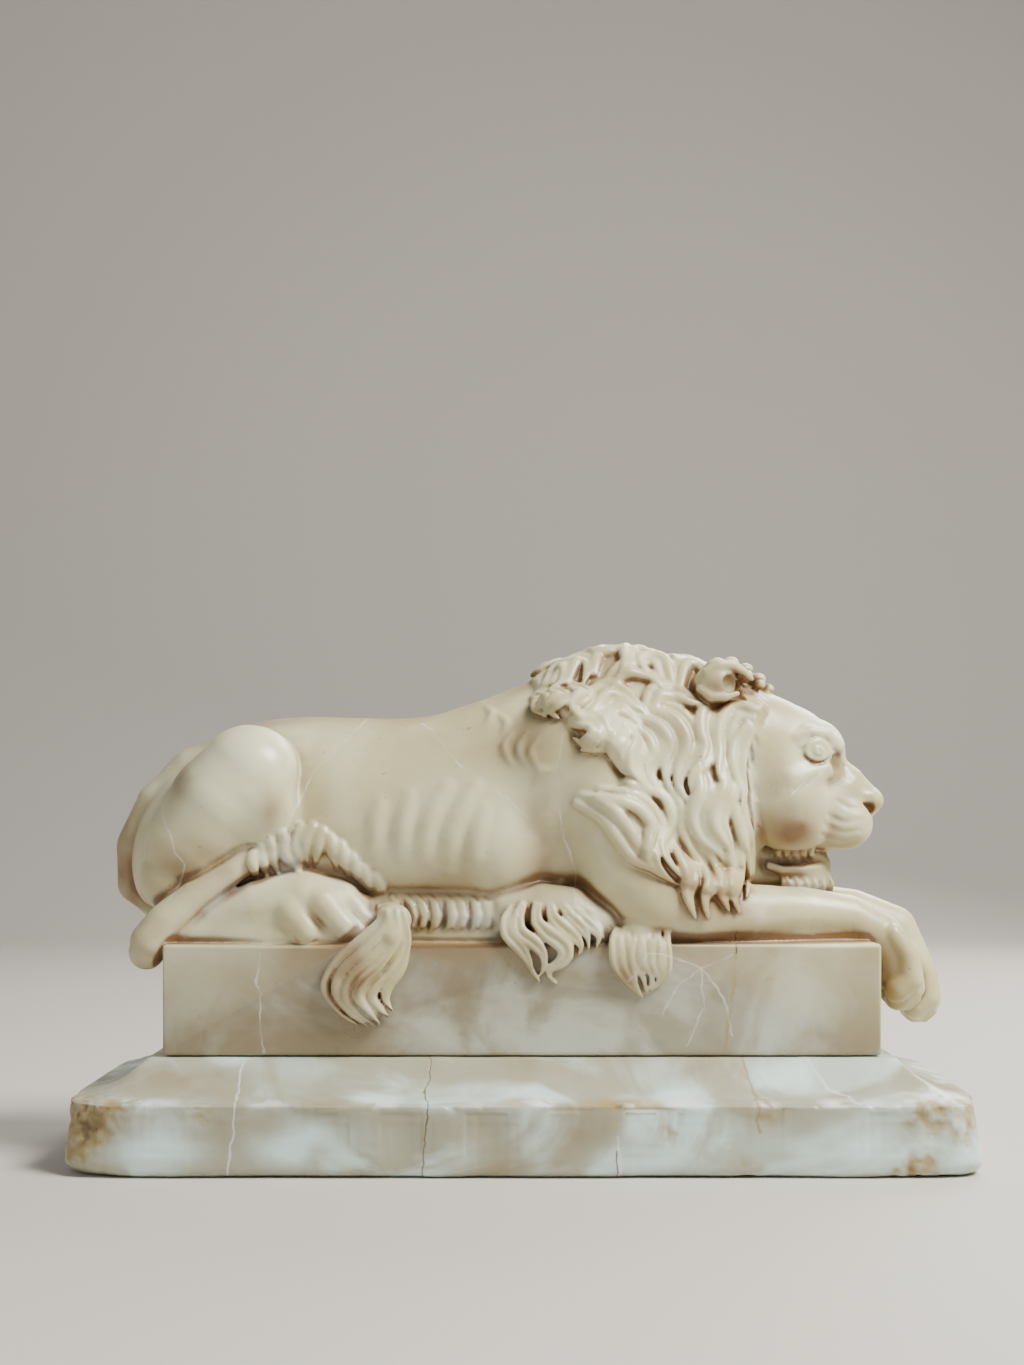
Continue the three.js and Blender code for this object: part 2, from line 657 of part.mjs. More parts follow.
// A point beside a flat curve
function alongside(spine, t, sideways) {
  const [x, y] = through(spine, t);
  const ahead = through(spine, Math.min(t + 0.03, 1));
  const behind = through(spine, Math.max(t - 0.03, 0));
  const [dx, dy] = [ahead[0] - behind[0], ahead[1] - behind[1]];
  const long = Math.hypot(dx, dy);
  return [x - (dy / long) * sideways, y + (dx / long) * sideways];
}

// A lock of hair: strands side by side over a core, thick in the middle and drawn out to a point.
function layLock(clay, line, width, strands, rise) {
  const lay = (aside, drop, share) => {
    const centres = [];
    const radii = [];
    for (let i = 0; i <= curveSteps; i++) {
      const t = i / curveSteps;
      const open = 0.5 + 0.5 * Math.sin(Math.PI * Math.min(0.12 + 1.05 * t, 1));
      const half = (width / 2) * open * (1 - t ** 3.2) ** 0.8 + 0.3;
      const height = rise * Math.sin(Math.PI * (0.82 * t + 0.13)) ** 0.6 + 0.4 * t;
      centres.push(line(t, aside * half, (height - drop * half) * swell));
      radii.push(share * half * swell);
    }
    clay.add(tube(centres, radii), 0.7);
  };
  for (let s = 0; s < strands; s++) {
    const aside = (2 * (s + 0.5)) / strands - 1;
    lay(aside, 0.55 * aside * aside + 1 / strands, 1.25 / strands);
  }
  lay(0, 0.7 + 1.3 / strands, 0.9);
}

// A line laid on a flank of the skin, through points [x, z]
function flankLine(skinned, spine, side) {
  const inward = new THREE.Vector3(0, -side, 0);
  return (t, sideways, height) => {
    const [x, z] = alongside(spine, t, sideways);
    const p = skinned.touch(place([x, outside * side, z]), inward);
    return p.addScaledVector(skinned.normal(p), height);
  };
}

// The same over the neck, through points [x, degrees round it], 90 at the top
function crownLine(skinned, spine) {
  const folded = spine.map(([x, degrees]) => [x, degrees * crownFold]);
  return (t, sideways, height) => {
    const [x, across] = alongside(folded, t, sideways);
    const turn = radians(across / crownFold);
    const [c, s] = [Math.cos(turn), Math.sin(turn)];
    const p = skinned.touch(place([x, -outside * c, neckAxis + outside * s]), new THREE.Vector3(0, c, -s));
    return p.addScaledVector(skinned.normal(p), height);
  };
}

const neckAxis = 45; // the height that the crown's locks turn about
const crownFold = 0.6; // drawing units over the crown for each degree

// The mane's outline, x and z: the stone is thicker within it
const maneOutline = [
  [3, 73], [6, 66], [14, 62], [17, 55], [24, 55], [28, 48], [27, 43], [17, 42.5], [21, 38], [27, 33],
  [31, 26], [38, 20], [46, 15], [54, 12.6], [62, 13], [66, 19], [67, 30], [66, 42], [67, 54], [70, 62],
  [73.4, 68], [70, 77], [60, 88], [40, 96], [20, 94], [6, 84], [1, 77],
];
const manePad = (z) => lerp(2.4, 1.1, clamp((z - 60) / 16, 0, 1)); // thinner over the crest
const maneRim = 3.4;
const lockRise = 2.3;
const crestRise = 2.5;
const lockFullness = 1.16; // how much wider the locks are than their spacing

// The mane: the width of each lock and the points [x, z] that it runs through, root to tip
const maneLocks = [
  [6.4, [[16.3, 40.8], [24, 37], [28.6, 30.5], [32.2, 25], [36.6, 21.5], [41.7, 17.6]]],
  [6.4, [[22, 42.4], [32.2, 40.2], [37.6, 34.1], [37, 29], [36.1, 25.8], [38.5, 22.2], [43.6, 17]]],
  [5.9, [[31.4, 46], [40.7, 42.9], [44, 36.7], [42.6, 31.6], [40, 27.5], [40.4, 23.8], [44.4, 19.3]]],
  [5.5, [[43.2, 32.1], [45, 25.4], [47.5, 19.6], [46.6, 13.3], [49, 7.4]]],
  [6.2, [[46.4, 35], [49, 27.8], [52.2, 22.2], [53.5, 17.6], [51.4, 12.5], [52.5, 7.4]]],
  [5.2, [[55, 29.8], [55.9, 23.2], [57.6, 18.2], [56.9, 13.1], [58.6, 9.1]]],
  [5, [[59.2, 32.1], [60.6, 25.2], [61.2, 19.3], [60, 13.1], [61.6, 8.6]]],
  [5.9, [[61.3, 41.3], [63, 33.4], [65.6, 26.1], [66, 19.3], [63.8, 12.5]]],
  [6.4, [[51.7, 49.3], [52.2, 42.6], [50.1, 36.3], [51.8, 30.7], [55.8, 26.8], [57.6, 22.8]]],
  [7.1, [[58.9, 51], [59.4, 44.4], [56.6, 38.4], [56.1, 33.6], [58.8, 28], [60.7, 23.1]]],
  [5.2, [[30.4, 63.6], [36.6, 60.2], [38.8, 54.8], [36.4, 49.6], [37.4, 45], [41, 41.5]]],
  [5.9, [[32.2, 66.1], [40, 63.4], [44, 57.4], [42.6, 51.9], [41.3, 47.3], [44, 41]]],
  [6.2, [[36.3, 68.4], [44.4, 65.8], [48.8, 59.5], [48.6, 53.8], [45.7, 49], [45.3, 44.3], [48.3, 39.4]]],
  [4.6, [[29.6, 63.2], [27.2, 58.4], [27.2, 53.4], [30.4, 47.5]]],
  [5, [[31, 62.8], [33.5, 57.8], [31.5, 52.5], [32.7, 47.2], [36.6, 42.4]]],
  [4.6, [[66.6, 62.3], [62.8, 55.9], [61.8, 49.6], [63.6, 43.4], [62.1, 36.7]]],
  [5.7, [[60.4, 68.5], [55, 67.3], [53, 61.3], [54.2, 56], [52.3, 51.1], [48.8, 46.9], [48.6, 42.1]]],
  [5.9, [[68.4, 65.6], [62.4, 66.4], [58.4, 60.5], [58.2, 54], [56.6, 47.8], [58.6, 43]]],
  [5, [[16.6, 65.8], [23, 65], [25.4, 60], [22.4, 55.6], [16.7, 54.7]]],
  [3.6, [[14.1, 63.1], [19.2, 62.4], [20.8, 59.2], [17.9, 57], [14.6, 58.1]]],
  [4.6, [[23.4, 66.8], [28.4, 67], [32.4, 64.2], [34, 60.3]]],
  [5.9, [[19.2, 66.6], [23.4, 72.2], [28.6, 71.8], [33, 67.6], [36.4, 64.8]]],
  [6.8, [[36.6, 66.4], [39.8, 72.1], [45.1, 71.8], [50, 69], [56.6, 68.4]]],
  [3.9, [[9.4, 72.8], [12, 69.5], [8.8, 67], [10.8, 63.6]]],
  [3.6, [[4, 71.3], [6.8, 69], [4.8, 66.6], [7.4, 64]]],
  [4.1, [[14.8, 74], [18.2, 70.8], [15, 67.2], [17.1, 63.4]]],
];

// The same over the crest: width, and points [x, degrees round the neck]
const crestLocks = [
  [4.4, [[8, 70], [11, 80], [14, 78], [12.4, 68], [8.4, 62]]],
  [5.4, [[12, 68], [15.6, 82], [20, 78], [18, 63]]],
  [6.4, [[20, 72], [23, 92], [29.6, 90], [31, 74], [26, 60]]],
  [5.4, [[26, 66], [31, 72], [37, 70], [42, 62]]],
  [8, [[46, 76], [42, 92], [35, 94], [31.6, 82], [33, 68]]],
  [5.4, [[43, 68], [40.4, 80], [35.6, 78], [36.6, 68]]],
  [6.4, [[45, 66], [48, 84], [54, 84], [55.4, 68], [50, 60]]],
  [4.4, [[56, 70], [58, 80], [63, 82], [65, 74]]], [4.6, [[14, 102], [10.4, 94], [6.4, 90], [3.4, 94]]],
  [5.6, [[24, 104], [19, 92], [13.6, 94], [9.6, 88]]], [5.6, [[37, 108], [33, 98], [27, 98], [23, 92]]],
  [6, [[62, 100], [56, 92], [50, 95], [46, 102]]],
];

// Small curls behind the forehead: x, y, z and size
const knobs = [
  [57.6, -8, 80.4, 3.2], [62, -4, 81, 3.1], [66.6, -2, 79.4, 2.9], [70.6, -2, 76.6, 2.7],
  [60, 5, 81, 3.1], [65, 6, 79.4, 2.9], [74, 1, 74, 2.2], [66.4, -8, 77.4, 2.4], [69, 5, 77, 2.6],
  [70.6, -7, 75, 2],
];

function mane(clay) {
  clay.add(egg([52, 0, 36], [15, 25.6, 24]), 5);
  clay.raiseInside(maneOutline, manePad, maneRim);
  const skinned = clay.snapshot();
  const strandsOf = (width) => (width > 5 ? 2 : 1);
  for (const side of [-1, 1])
    for (const [width, spine] of maneLocks)
      layLock(clay, flankLine(skinned, spine, side), width * lockFullness, strandsOf(width), lockRise);
  for (const [width, spine] of crestLocks) {
    const mirrored = spine.map(([x, degrees]) => [x, 180 - degrees]);
    layLock(clay, crownLine(skinned, spine), width * lockFullness, strandsOf(width), crestRise);
    if (spine[spine.length - 1][1] < 87)
      layLock(clay, crownLine(skinned, mirrored), width * lockFullness, strandsOf(width), crestRise);
  }
  for (const [x, y, z, size] of knobs) clay.add(egg([x, y, z], [size, size * 0.9, size * 0.8], 20), 1);
}

// Ears, set in the mane behind the brow and cupped forwards, with a thin rim above and below
function ears(clay) {
  for (const side of [-1, 1]) {
    const rim = (points) => clay.add(limb(points.map(([x, y, z, r]) => [x, side * y, z, r])), 0.9);
    clay.add(egg([56.8, side * 12.4, 75], [6.4, 6, 5.6], 10, side * 15), 1.6);
    clay.cut(egg([62.4, side * 16.6, 74.6], [4, 4.4, 3], -14, side * 20), 0.5);
    rim([
      [54, 16, 78, 1.6], [57.4, 16, 80, 1.7], [61.6, 15, 80.2, 1.5],
      [65, 13.6, 78.6, 1.2], [67.6, 12.4, 76.4, 0.8],
    ]);
    rim([[52.4, 16, 73, 1.6], [55, 17, 70.8, 1.7], [59, 17, 70.6, 1.4], [63, 16, 71.8, 0.8]]);
  }
}

// Locks that hang free: width, and points [x, z], behind the elbow and at it
const chestLocks = [
  [3.4, [[-3.1, 9.8], [-4.5, 7], [-4, 3], [-0.9, -0.4], [1.4, -3.8], [2.8, -7.2], [5.4, -11]]],
  [3.8, [[0.3, 11.2], [-1.2, 7.6], [-0.8, 3.6], [2.9, 0.8], [5.8, -2.3], [6.2, -6], [4.9, -9.1]]],
  [4.2, [
    [4.3, 11.2], [4.1, 6.4], [7.3, 3], [11, 0.5], [12.4, -2.1], [11, -4.9], [8.2, -6.6], [7.8, -8.9],
    [9.9, -11.1],
  ]],
  [3.4, [[7.9, 11.2], [8.7, 7.6], [11.6, 4.7], [15, 1.9], [16.7, -0.9], [15.4, -3.2]]],
  [3, [[11.2, 11.2], [13.3, 8.1], [16.4, 5.3], [18.4, 2.2], [18.9, -1.5]]],
  [2.8, [[14.3, 10.2], [16.7, 7.4], [19.8, 5], [21.8, 2.2], [20.8, -1.5]]],
  [2.2, [[18.7, 7.2], [21.5, 5], [23.2, 1.6]]],
];
const elbowLocks = [
  [3.2, [[26.4, 1.4], [26.8, -4.8], [29.4, -10.4], [33.2, -14.6]]],
  [3.4, [[29, 1], [29.8, -5.6], [31.8, -10.6], [34.2, -15]]],
  [3.2, [[32.5, 1.1], [31.9, -3.7], [34.1, -8.8], [35, -13.3]]],
  [3, [[35.2, 0.4], [35.3, -4.8], [36.8, -8.8], [35.6, -13.6]]],
  [3, [[38, 0.2], [37.8, -5.4], [38.9, -9.1], [36.6, -13]]],
  [2.6, [[40.8, -1], [40.8, -5.9], [40, -9.6], [37.2, -12.4]]],
];
const hangingDepth = 33.6; // how far out the free locks hang
const groinFullness = 1.25;
const groinRise = 1.7;

// Short locks in the groin, behind the hind foot: width, and points [x, z]
const groinLocks = [
  [3, [[-68.8, 31], [-68.5, 26.6], [-66.2, 23.2], [-64.5, 20]]],
  [3.2, [[-63.9, 32.6], [-65, 28.1], [-64.2, 24.3], [-63.9, 20]]],
  [3.2, [[-60.4, 33], [-62.4, 28.1], [-61.6, 22]]], [3, [[-57.6, 31.8], [-58.7, 27.2], [-59.9, 22]]],
  [3, [[-55.6, 30.1], [-54.4, 26.6], [-53.4, 21]]], [2.8, [[-52.3, 27.8], [-51.2, 23.7], [-49.8, 19]]],
  [2.6, [[-49, 24.6], [-47.5, 20.6], [-46.3, 16.7]]],
  [2.6, [[-45.6, 21.4], [-44.6, 17.7], [-42.6, 13.8]]],
  [2.6, [[-42.2, 18.6], [-40.9, 14.8], [-41.1, 10.1]]],
  [2.2, [[-76.9, 26], [-77.7, 22.6], [-76.6, 18]]],
  [2.2, [[-74.6, 27.6], [-75.1, 23.6], [-73.7, 18.4]]],
  [2.4, [[-72.2, 29], [-72.2, 25], [-70.2, 19.3]]],
];

// Strands of the tail's tuft: points [x, z]
const tuftStrands = [
  [[-39.2, 9.4], [-40.6, 5.7], [-48.5, -1.3], [-53.5, -7], [-55.2, -12.6], [-51.3, -18.8], [-46.2, -22.7]],
  [[-38.1, 9.4], [-38.6, 4.9], [-45.7, -2.7], [-50.7, -7.5], [-52.1, -13.2], [-48.5, -18.8], [-43.4, -23]],
  [[-36.9, 9.4], [-37.2, 2.9], [-42.8, -4.1], [-47.9, -9.2], [-49.6, -14], [-46.5, -18.8], [-41.4, -23]],
  [[-35.5, 9.4], [-35.8, 1.5], [-40, -5.5], [-44.5, -9.8], [-46.2, -14.3], [-43.4, -18.2], [-40.3, -22.4]],
  [[-34.4, 9.4], [-34.1, 1.5], [-37.2, -6.4], [-41.2, -11.2], [-42.3, -14.8], [-39.7, -18.2], [-37.5, -20.5]],
  [[-33.6, 9.4], [-32.8, 1.5], [-34.4, -6.4], [-37.8, -11.7], [-38.6, -15.4], [-36.6, -18.8]],
];

const bellyFrom = -36.6;
const bellyTo = -3;
const bellyCount = 10;
const beardFrom = 77.6;
const beardSpacing = 2.7;
const beardCount = 6;

// A lock that hangs free, thick in the middle and pointed below
function hang(clay, points, width) {
  const centres = [];
  const radii = [];
  for (let i = 0; i <= curveSteps; i++) {
    const t = i / curveSteps;
    centres.push(place(through(points, t)));
    const open = 0.55 + 0.45 * Math.sin(Math.PI * Math.min(1.25 * t, 1));
    radii.push((width / 2) * swell * (open * (1 - t ** 4) + 0.1));
  }
  clay.add(tube(centres, radii), 0.6);
}

// Hair under the jaw, on the chest, the elbow and the belly, and in the groin
function fringes(clay) {
  const skinned = clay.snapshot();
  for (const side of [-1, 1]) {
    const across = ([x, y, z, r]) => [x, side * y, z, r];
    const backing = (points, fillet) => clay.add(limb(points.map(across)), fillet);
    for (let i = 0; i < beardCount; i++) {
      const x = beardFrom + beardSpacing * i;
      const y = 8.4 - 0.045 * (beardSpacing * i + 0.6) ** 1.8;
      const strand = [[x, y, 18.4], [x + 0.7, y + 0.6, 15.6], [x - 0.5, y, 12.8], [x, y, 11]];
      hang(clay, strand.map(across).map((p) => p.slice(0, 3)), beardSpacing * 1.1);
    }
    backing([[-42, 17, 9, 6], [-20, 18.6, 9, 6.4], [2, 21, 9, 6.4]], 2);
    backing([[-42, 18, 1, 6], [-20, 19.6, 1, 6.2], [2, 22, 1, 6.4], [24, 23, 2, 7]], 2);
    for (let i = 0; i < bellyCount; i++) {
      const x = lerp(bellyFrom, bellyTo, i / (bellyCount - 1));
      const y = 22.4 + 0.09 * (x - bellyFrom);
      backing([
        [x - 1.2, y - 1.4, 12.8, 1], [x + 0.2, y + 0.6, 10.4, 1.8], [x + 0.9, y + 1.4, 7.6, 1.9],
        [x + 0.4, y + 1.4, 5.4, 1.5], [x - 0.9, y + 1, 3.8, 0.8],
      ], 0.5);
    }
    backing([[-3, 24, 9, 6], [6, 25, 10, 7], [14, 25.4, 9, 7], [22, 26, 5, 6]], 2);
    backing([[33.4, 28.4, 3, 5.6], [33.8, 29.4, -3, 4.6], [34.4, 31, -8.4, 2.8], [34.6, 32.2, -13, 1.2]], 1);
    for (const [width, spine] of [...chestLocks, ...elbowLocks]) {
      const outwards = spine.map(([x, z], i) => [x, side * (i ? hangingDepth : hangingDepth - 2.4), z]);
      hang(clay, outwards, width * lockFullness);
    }
    for (const [width, spine] of groinLocks) {
      layLock(clay, flankLine(skinned, spine, side), width * groinFullness, 1, groinRise);
    }
  }
}

// The tail: root down the rump, then out past the hind foot and over the face of the block
function tail(clay) {
  const root = [[-98, 0, 48, 8], [-108, 0, 39, 8], [-114.6, 0, 27, 7], [-115.6, 1, 16, 6], [-106, 3, 7, 5]];
  const end = [[-44, -18, 6, 3.6], [-38, -26, 7.4, 4.2], [-36.2, -31.6, 6.6, 4.8], [-36.6, -34.6, 2, 3.6]];
  const core = [[-37, -32, 2, 3.4], [-43, -33, -6, 5], [-46.6, -33, -13, 5], [-43, -33, -18, 3.4]];
  clay.add(limb(root), 3);
  clay.add(limb(end), 1.2);
  clay.add(limb(core), 0.4);
  tuftStrands.forEach((spine, i) => {
    const across = (2 * i) / (tuftStrands.length - 1) - 1;
    const centres = [];
    const radii = [];
    for (let n = 0; n <= curveSteps; n++) {
      const t = n / curveSteps;
      const swollen = Math.sin(Math.PI * (0.9 * t + 0.05));
      const [x, z] = through(spine, t);
      centres.push(place([x, -33.6 - 3.4 * swollen * (1 - 0.75 * across * across), z]));
      radii.push((1.15 + 0.85 * swollen) * (1 - 0.7 * t ** 6) * swell);
    }
    clay.add(tube(centres, radii), 0.4);
  });
}

// The corners of the clay that the figure is cut from, with room to spare
const clayLow = [-128, -42, -34];
const clayHigh = [134, 42, 96];
const skinDepth = 3 * cell; // how much of the figure is kept inside the block's faces

function lion() {
  const clay = new Clay(place(clayLow), place(clayHigh), cell);
  clay.add(loft(trunk, trunkTaper), 4);
  clay.add(egg([50, 0, 24], [20, 20, 20]), 6);
  // Stone left standing under the belly and the chest
  clay.add(limb([[-92, 0, 1, 12], [-60, 0, 2, 17], [0, 0, 2, 20], [50, 0, 2, 18], [84, 0, 0, 8]]), 4);
  flank(clay, -1);
  flank(clay, 1);
  head(clay);
  mane(clay);
  ears(clay);
  tail(clay);
  fringes(clay);
  const [l, d] = [blockLength / 2, blockDepth / 2];
  clay.fillSealed(slab(new THREE.Vector3(-l, -d, blockFoot), new THREE.Vector3(l, d, blockTop)));
  // What lies deep inside the block is left out of the figure: the block fills it
  clay.cut(slab(
    new THREE.Vector3(skinDepth - l, skinDepth - d, blockFoot - blockHeight),
    new THREE.Vector3(l - skinDepth, d - skinDepth, blockTop - skinDepth),
  ), 0.1);
  const care = (x, y, z) => {
    const face = clamp((x / stretchX - 60) / 12, 0, 1);
    return (y < 0 ? 1 : 0.45) * (z < blockTop - 1 ? 0.7 : 1) * (1 + face);
  };
  const made = simplify(skin(clay), lionTriangles, care);
  return solid(made.points, made.triangles);
}

// A closed mesh as a solid that can be joined and cut.
function solid(points, triangles) {
  const geometry = new THREE.BufferGeometry();
  geometry.setAttribute("position", new THREE.BufferAttribute(new Float32Array(points), 3));
  geometry.setIndex([...triangles]);
  return solidOf(geometry);
}

function solidOf(geometry) {
  const bare = new THREE.BufferGeometry().setAttribute("position", geometry.getAttribute("position"));
  bare.setIndex(geometry.index);
  const merged = mergeVertices(bare, 1e-4);
  const made = new wasm.Manifold(new wasm.Mesh({
    numProp: 3,
    vertProperties: merged.attributes.position.array,
    triVerts: new Uint32Array(merged.index.array),
  }));
  return made;
}

function geometryOf(made) {
  const mesh = made.getMesh();
  const geometry = new THREE.BufferGeometry();
  geometry.setAttribute("position", new THREE.BufferAttribute(new Float32Array(mesh.vertProperties), 3));
  geometry.setIndex(new THREE.BufferAttribute(new Uint32Array(mesh.triVerts), 1));
  geometry.computeVertexNormals();
  return geometry;
}

// The block: a rectangle in plan, extruded up with a small bevel all round
function block() {
  const [l, d] = [blockLength / 2 - blockEdge, blockDepth / 2 - blockEdge];
  const plan = new THREE.Shape([[-l, -d], [l, -d], [l, d], [-l, d]].map(([x, y]) => new THREE.Vector2(x, y)));
  const geometry = new THREE.ExtrudeGeometry(plan, {
    depth: blockHeight - 2 * blockEdge,
    bevelEnabled: true,
    bevelSize: blockEdge,
    bevelThickness: blockEdge,
    bevelSegments: 1,
  });
  geometry.translate(0, 0, blockFoot + blockEdge);
  return solidOf(geometry);
}

// Half the base's profile across one axis: foot bevel, upright band, hollow cavetto and top.
function moulding(half) {
  const profile = new THREE.Shape();
  const outer = half - bandLean;
  profile.moveTo(-outer + footBevel, 0);
  profile.lineTo(outer - footBevel, 0);
  profile.lineTo(outer, footBevel);
  profile.lineTo(half, bandHeight);
  for (let i = 1; i <= cavettoSteps; i++) profile.lineTo(...cavetto(half, i / cavettoSteps));
  for (let i = cavettoSteps; i >= 1; i--) {
    const [x, z] = cavetto(half, i / cavettoSteps);
    profile.lineTo(-x, z);
  }
  profile.lineTo(-half, bandHeight);
  profile.lineTo(-outer, footBevel);
  return profile;
}

function cavetto(half, t) {
  const sag = cavettoSag * Math.sin(Math.PI * t);
  const long = Math.hypot(cavettoRun, cavettoHeight);
  return [
    half - cavettoRun * t - (sag * cavettoHeight) / long,
    bandHeight + cavettoHeight * t - (sag * cavettoRun) / long,
  ];
}

// The base: the end profile and the side profile cut each other to mitres, with rounded corners.
function base() {
  const along = new THREE.ExtrudeGeometry(moulding(baseDepth / 2), { depth: baseLength, bevelEnabled: false });
  along.rotateX(Math.PI / 2).rotateZ(Math.PI / 2).translate(-baseLength / 2, 0, 0);
  const across = new THREE.ExtrudeGeometry(moulding(baseLength / 2), { depth: baseDepth, bevelEnabled: false });
  across.rotateX(Math.PI / 2).translate(0, baseDepth / 2, 0);
  const [l, d, r] = [baseLength / 2, baseDepth / 2, cornerRadius];
  const plan = new THREE.Shape();
  plan.moveTo(-l + r, -d).lineTo(l - r, -d).absarc(l - r, -d + r, r, -Math.PI / 2, 0);
  plan.lineTo(l, d - r).absarc(l - r, d - r, r, 0, Math.PI / 2);
  plan.lineTo(-l + r, d).absarc(-l + r, d - r, r, Math.PI / 2, Math.PI);
  plan.lineTo(-l, -d + r).absarc(-l + r, -d + r, r, Math.PI, 1.5 * Math.PI);
  const upright = new THREE.ExtrudeGeometry(plan, { depth: baseHeight, bevelEnabled: false, curveSegments: 6 });
  return solidOf(along).intersect(solidOf(across)).intersect(solidOf(upright));
}

function piece(name, made, material) {
  const mesh = new THREE.Mesh(geometryOf(made), material);
  mesh.name = name;
  return mesh;
}

const carving = new THREE.Group();
carving.add(piece("moulded_base", base(), baseAlabaster));
carving.add(piece("lion_on_block", lion().add(block()), alabaster));

export default carving;
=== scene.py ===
import math
import bpy
import numpy as np
import openvdb
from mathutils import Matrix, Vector


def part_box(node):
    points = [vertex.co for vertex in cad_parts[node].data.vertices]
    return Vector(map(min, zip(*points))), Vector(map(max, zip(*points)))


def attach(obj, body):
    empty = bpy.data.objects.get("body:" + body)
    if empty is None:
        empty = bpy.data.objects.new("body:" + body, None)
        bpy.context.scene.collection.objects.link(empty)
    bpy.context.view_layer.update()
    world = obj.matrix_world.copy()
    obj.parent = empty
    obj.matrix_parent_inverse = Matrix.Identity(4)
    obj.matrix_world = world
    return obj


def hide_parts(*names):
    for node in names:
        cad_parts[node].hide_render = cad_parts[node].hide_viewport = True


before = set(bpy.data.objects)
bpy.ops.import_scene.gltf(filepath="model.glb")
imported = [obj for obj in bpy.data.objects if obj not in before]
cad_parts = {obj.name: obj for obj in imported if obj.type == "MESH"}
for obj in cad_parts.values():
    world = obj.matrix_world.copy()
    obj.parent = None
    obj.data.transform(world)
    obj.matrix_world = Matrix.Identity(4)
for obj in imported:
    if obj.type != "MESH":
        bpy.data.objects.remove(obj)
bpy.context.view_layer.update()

# The figure is modelled in millimetres, x along the lion, y across and z up, with its feet at
# height 0 on a block of the drawing's length and depth. place() carries it to the real stone.
baseLow, baseHigh = [[c * 1000 for c in corner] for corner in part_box("moulded_base")]
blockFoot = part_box("lion_on_block")[0][2] * 1000

stone = {
    "cavettoRun": 22.4,       # how far the hollow moulding draws in
    "endLedge": 4.1,          # base left showing past each end of the block
    "sideLedge": 1.6,         # the same past each side
    "blockHeight": 31.6,
    "drawnLength": 204.0,     # the block of the drawing
    "drawnDepth": 66.0,
    "drawnHeight": 88.0,
    "lionHeight": 88.4,
}
blockLength = baseHigh[0] - baseLow[0] - 2 * (stone["cavettoRun"] + stone["endLedge"])
blockDepth = baseHigh[1] - baseLow[1] - 2 * (stone["cavettoRun"] + stone["sideLedge"])
blockTop = blockFoot + stone["blockHeight"]
stretch = np.array([
    blockLength / stone["drawnLength"],
    blockDepth / stone["drawnDepth"],
    stone["lionHeight"] / stone["drawnHeight"],
])
swell = float(np.cbrt(stretch.prod()))
farAway = 30.0               # the distance written where there is no stone near


def place(point):
    p = np.asarray(point, float) * stretch
    return p + np.array([0, 0, blockTop])


def mirrored(points, side):
    return [(p[0], -p[1] * side) + tuple(p[2:]) for p in points]


# Forms: each is a box that holds it and a distance, negative inside.

def egg(centre, radii, lean=0.0, yaw=0.0):
    middle = place(centre)
    r = np.array(radii, float) * swell
    a, b = math.radians(lean), math.radians(yaw)
    leanTurn = np.array([[math.cos(a), 0, -math.sin(a)], [0, 1, 0], [math.sin(a), 0, math.cos(a)]])
    yawTurn = np.array([[math.cos(b), -math.sin(b), 0], [math.sin(b), math.cos(b), 0], [0, 0, 1]])
    turn = (yawTurn @ leanTurn).T
    reach = np.sqrt((turn.T ** 2) @ (r ** 2))

    def distance(x, y, z):
        px, py, pz = x - middle[0], y - middle[1], z - middle[2]
        q = [(turn[i, 0] * px + turn[i, 1] * py + turn[i, 2] * pz) / r[i] for i in range(3)]
        near = np.sqrt(q[0] ** 2 + q[1] ** 2 + q[2] ** 2)
        slope = np.sqrt((q[0] / r[0]) ** 2 + (q[1] / r[1]) ** 2 + (q[2] / r[2]) ** 2)
        return near * (near - 1) / np.maximum(slope, 1e-6)
    return middle - reach, middle + reach, distance


def tube(centres, radii):
    c = np.asarray(centres, float)
    r = np.asarray(radii, float)
    low = (c - r[:, None]).min(axis=0)
    high = (c + r[:, None]).max(axis=0)

    def distance(x, y, z):
        least = None
        for a, b, ra, rb in zip(c[:-1], c[1:], r[:-1], r[1:]):
            d = (b - a).astype(np.float32)
            px, py, pz = x - np.float32(a[0]), y - np.float32(a[1]), z - np.float32(a[2])
            t = np.clip((px * d[0] + py * d[1] + pz * d[2]) / max(float(d @ d), 1e-9), 0, 1)
            away = np.sqrt((px - d[0] * t) ** 2 + (py - d[1] * t) ** 2 + (pz - d[2] * t) ** 2)
            away = away - np.float32(ra) - np.float32(rb - ra) * t
            least = away if least is None else np.minimum(least, away)
        return least
    return low, high, distance


def limb(points):
    return tube([place(p[:3]) for p in points], [p[3] * swell for p in points])


def smoothStations(stations, x, column):
    s = np.asarray(stations, float)
    slopes = np.gradient(s[:, column], s[:, 0])
    i = np.clip(np.searchsorted(s[:, 0], x) - 1, 0, len(s) - 2)
    run = s[i + 1, 0] - s[i, 0]
    t = np.clip((x - s[i, 0]) / run, 0, 1)
    t2, t3 = t * t, t * t * t
    return ((2 * t3 - 3 * t2 + 1) * s[i, column] + (t3 - 2 * t2 + t) * run * slopes[i]
            + (3 * t2 - 2 * t3) * s[i + 1, column] + (t3 - t2) * run * slopes[i + 1])


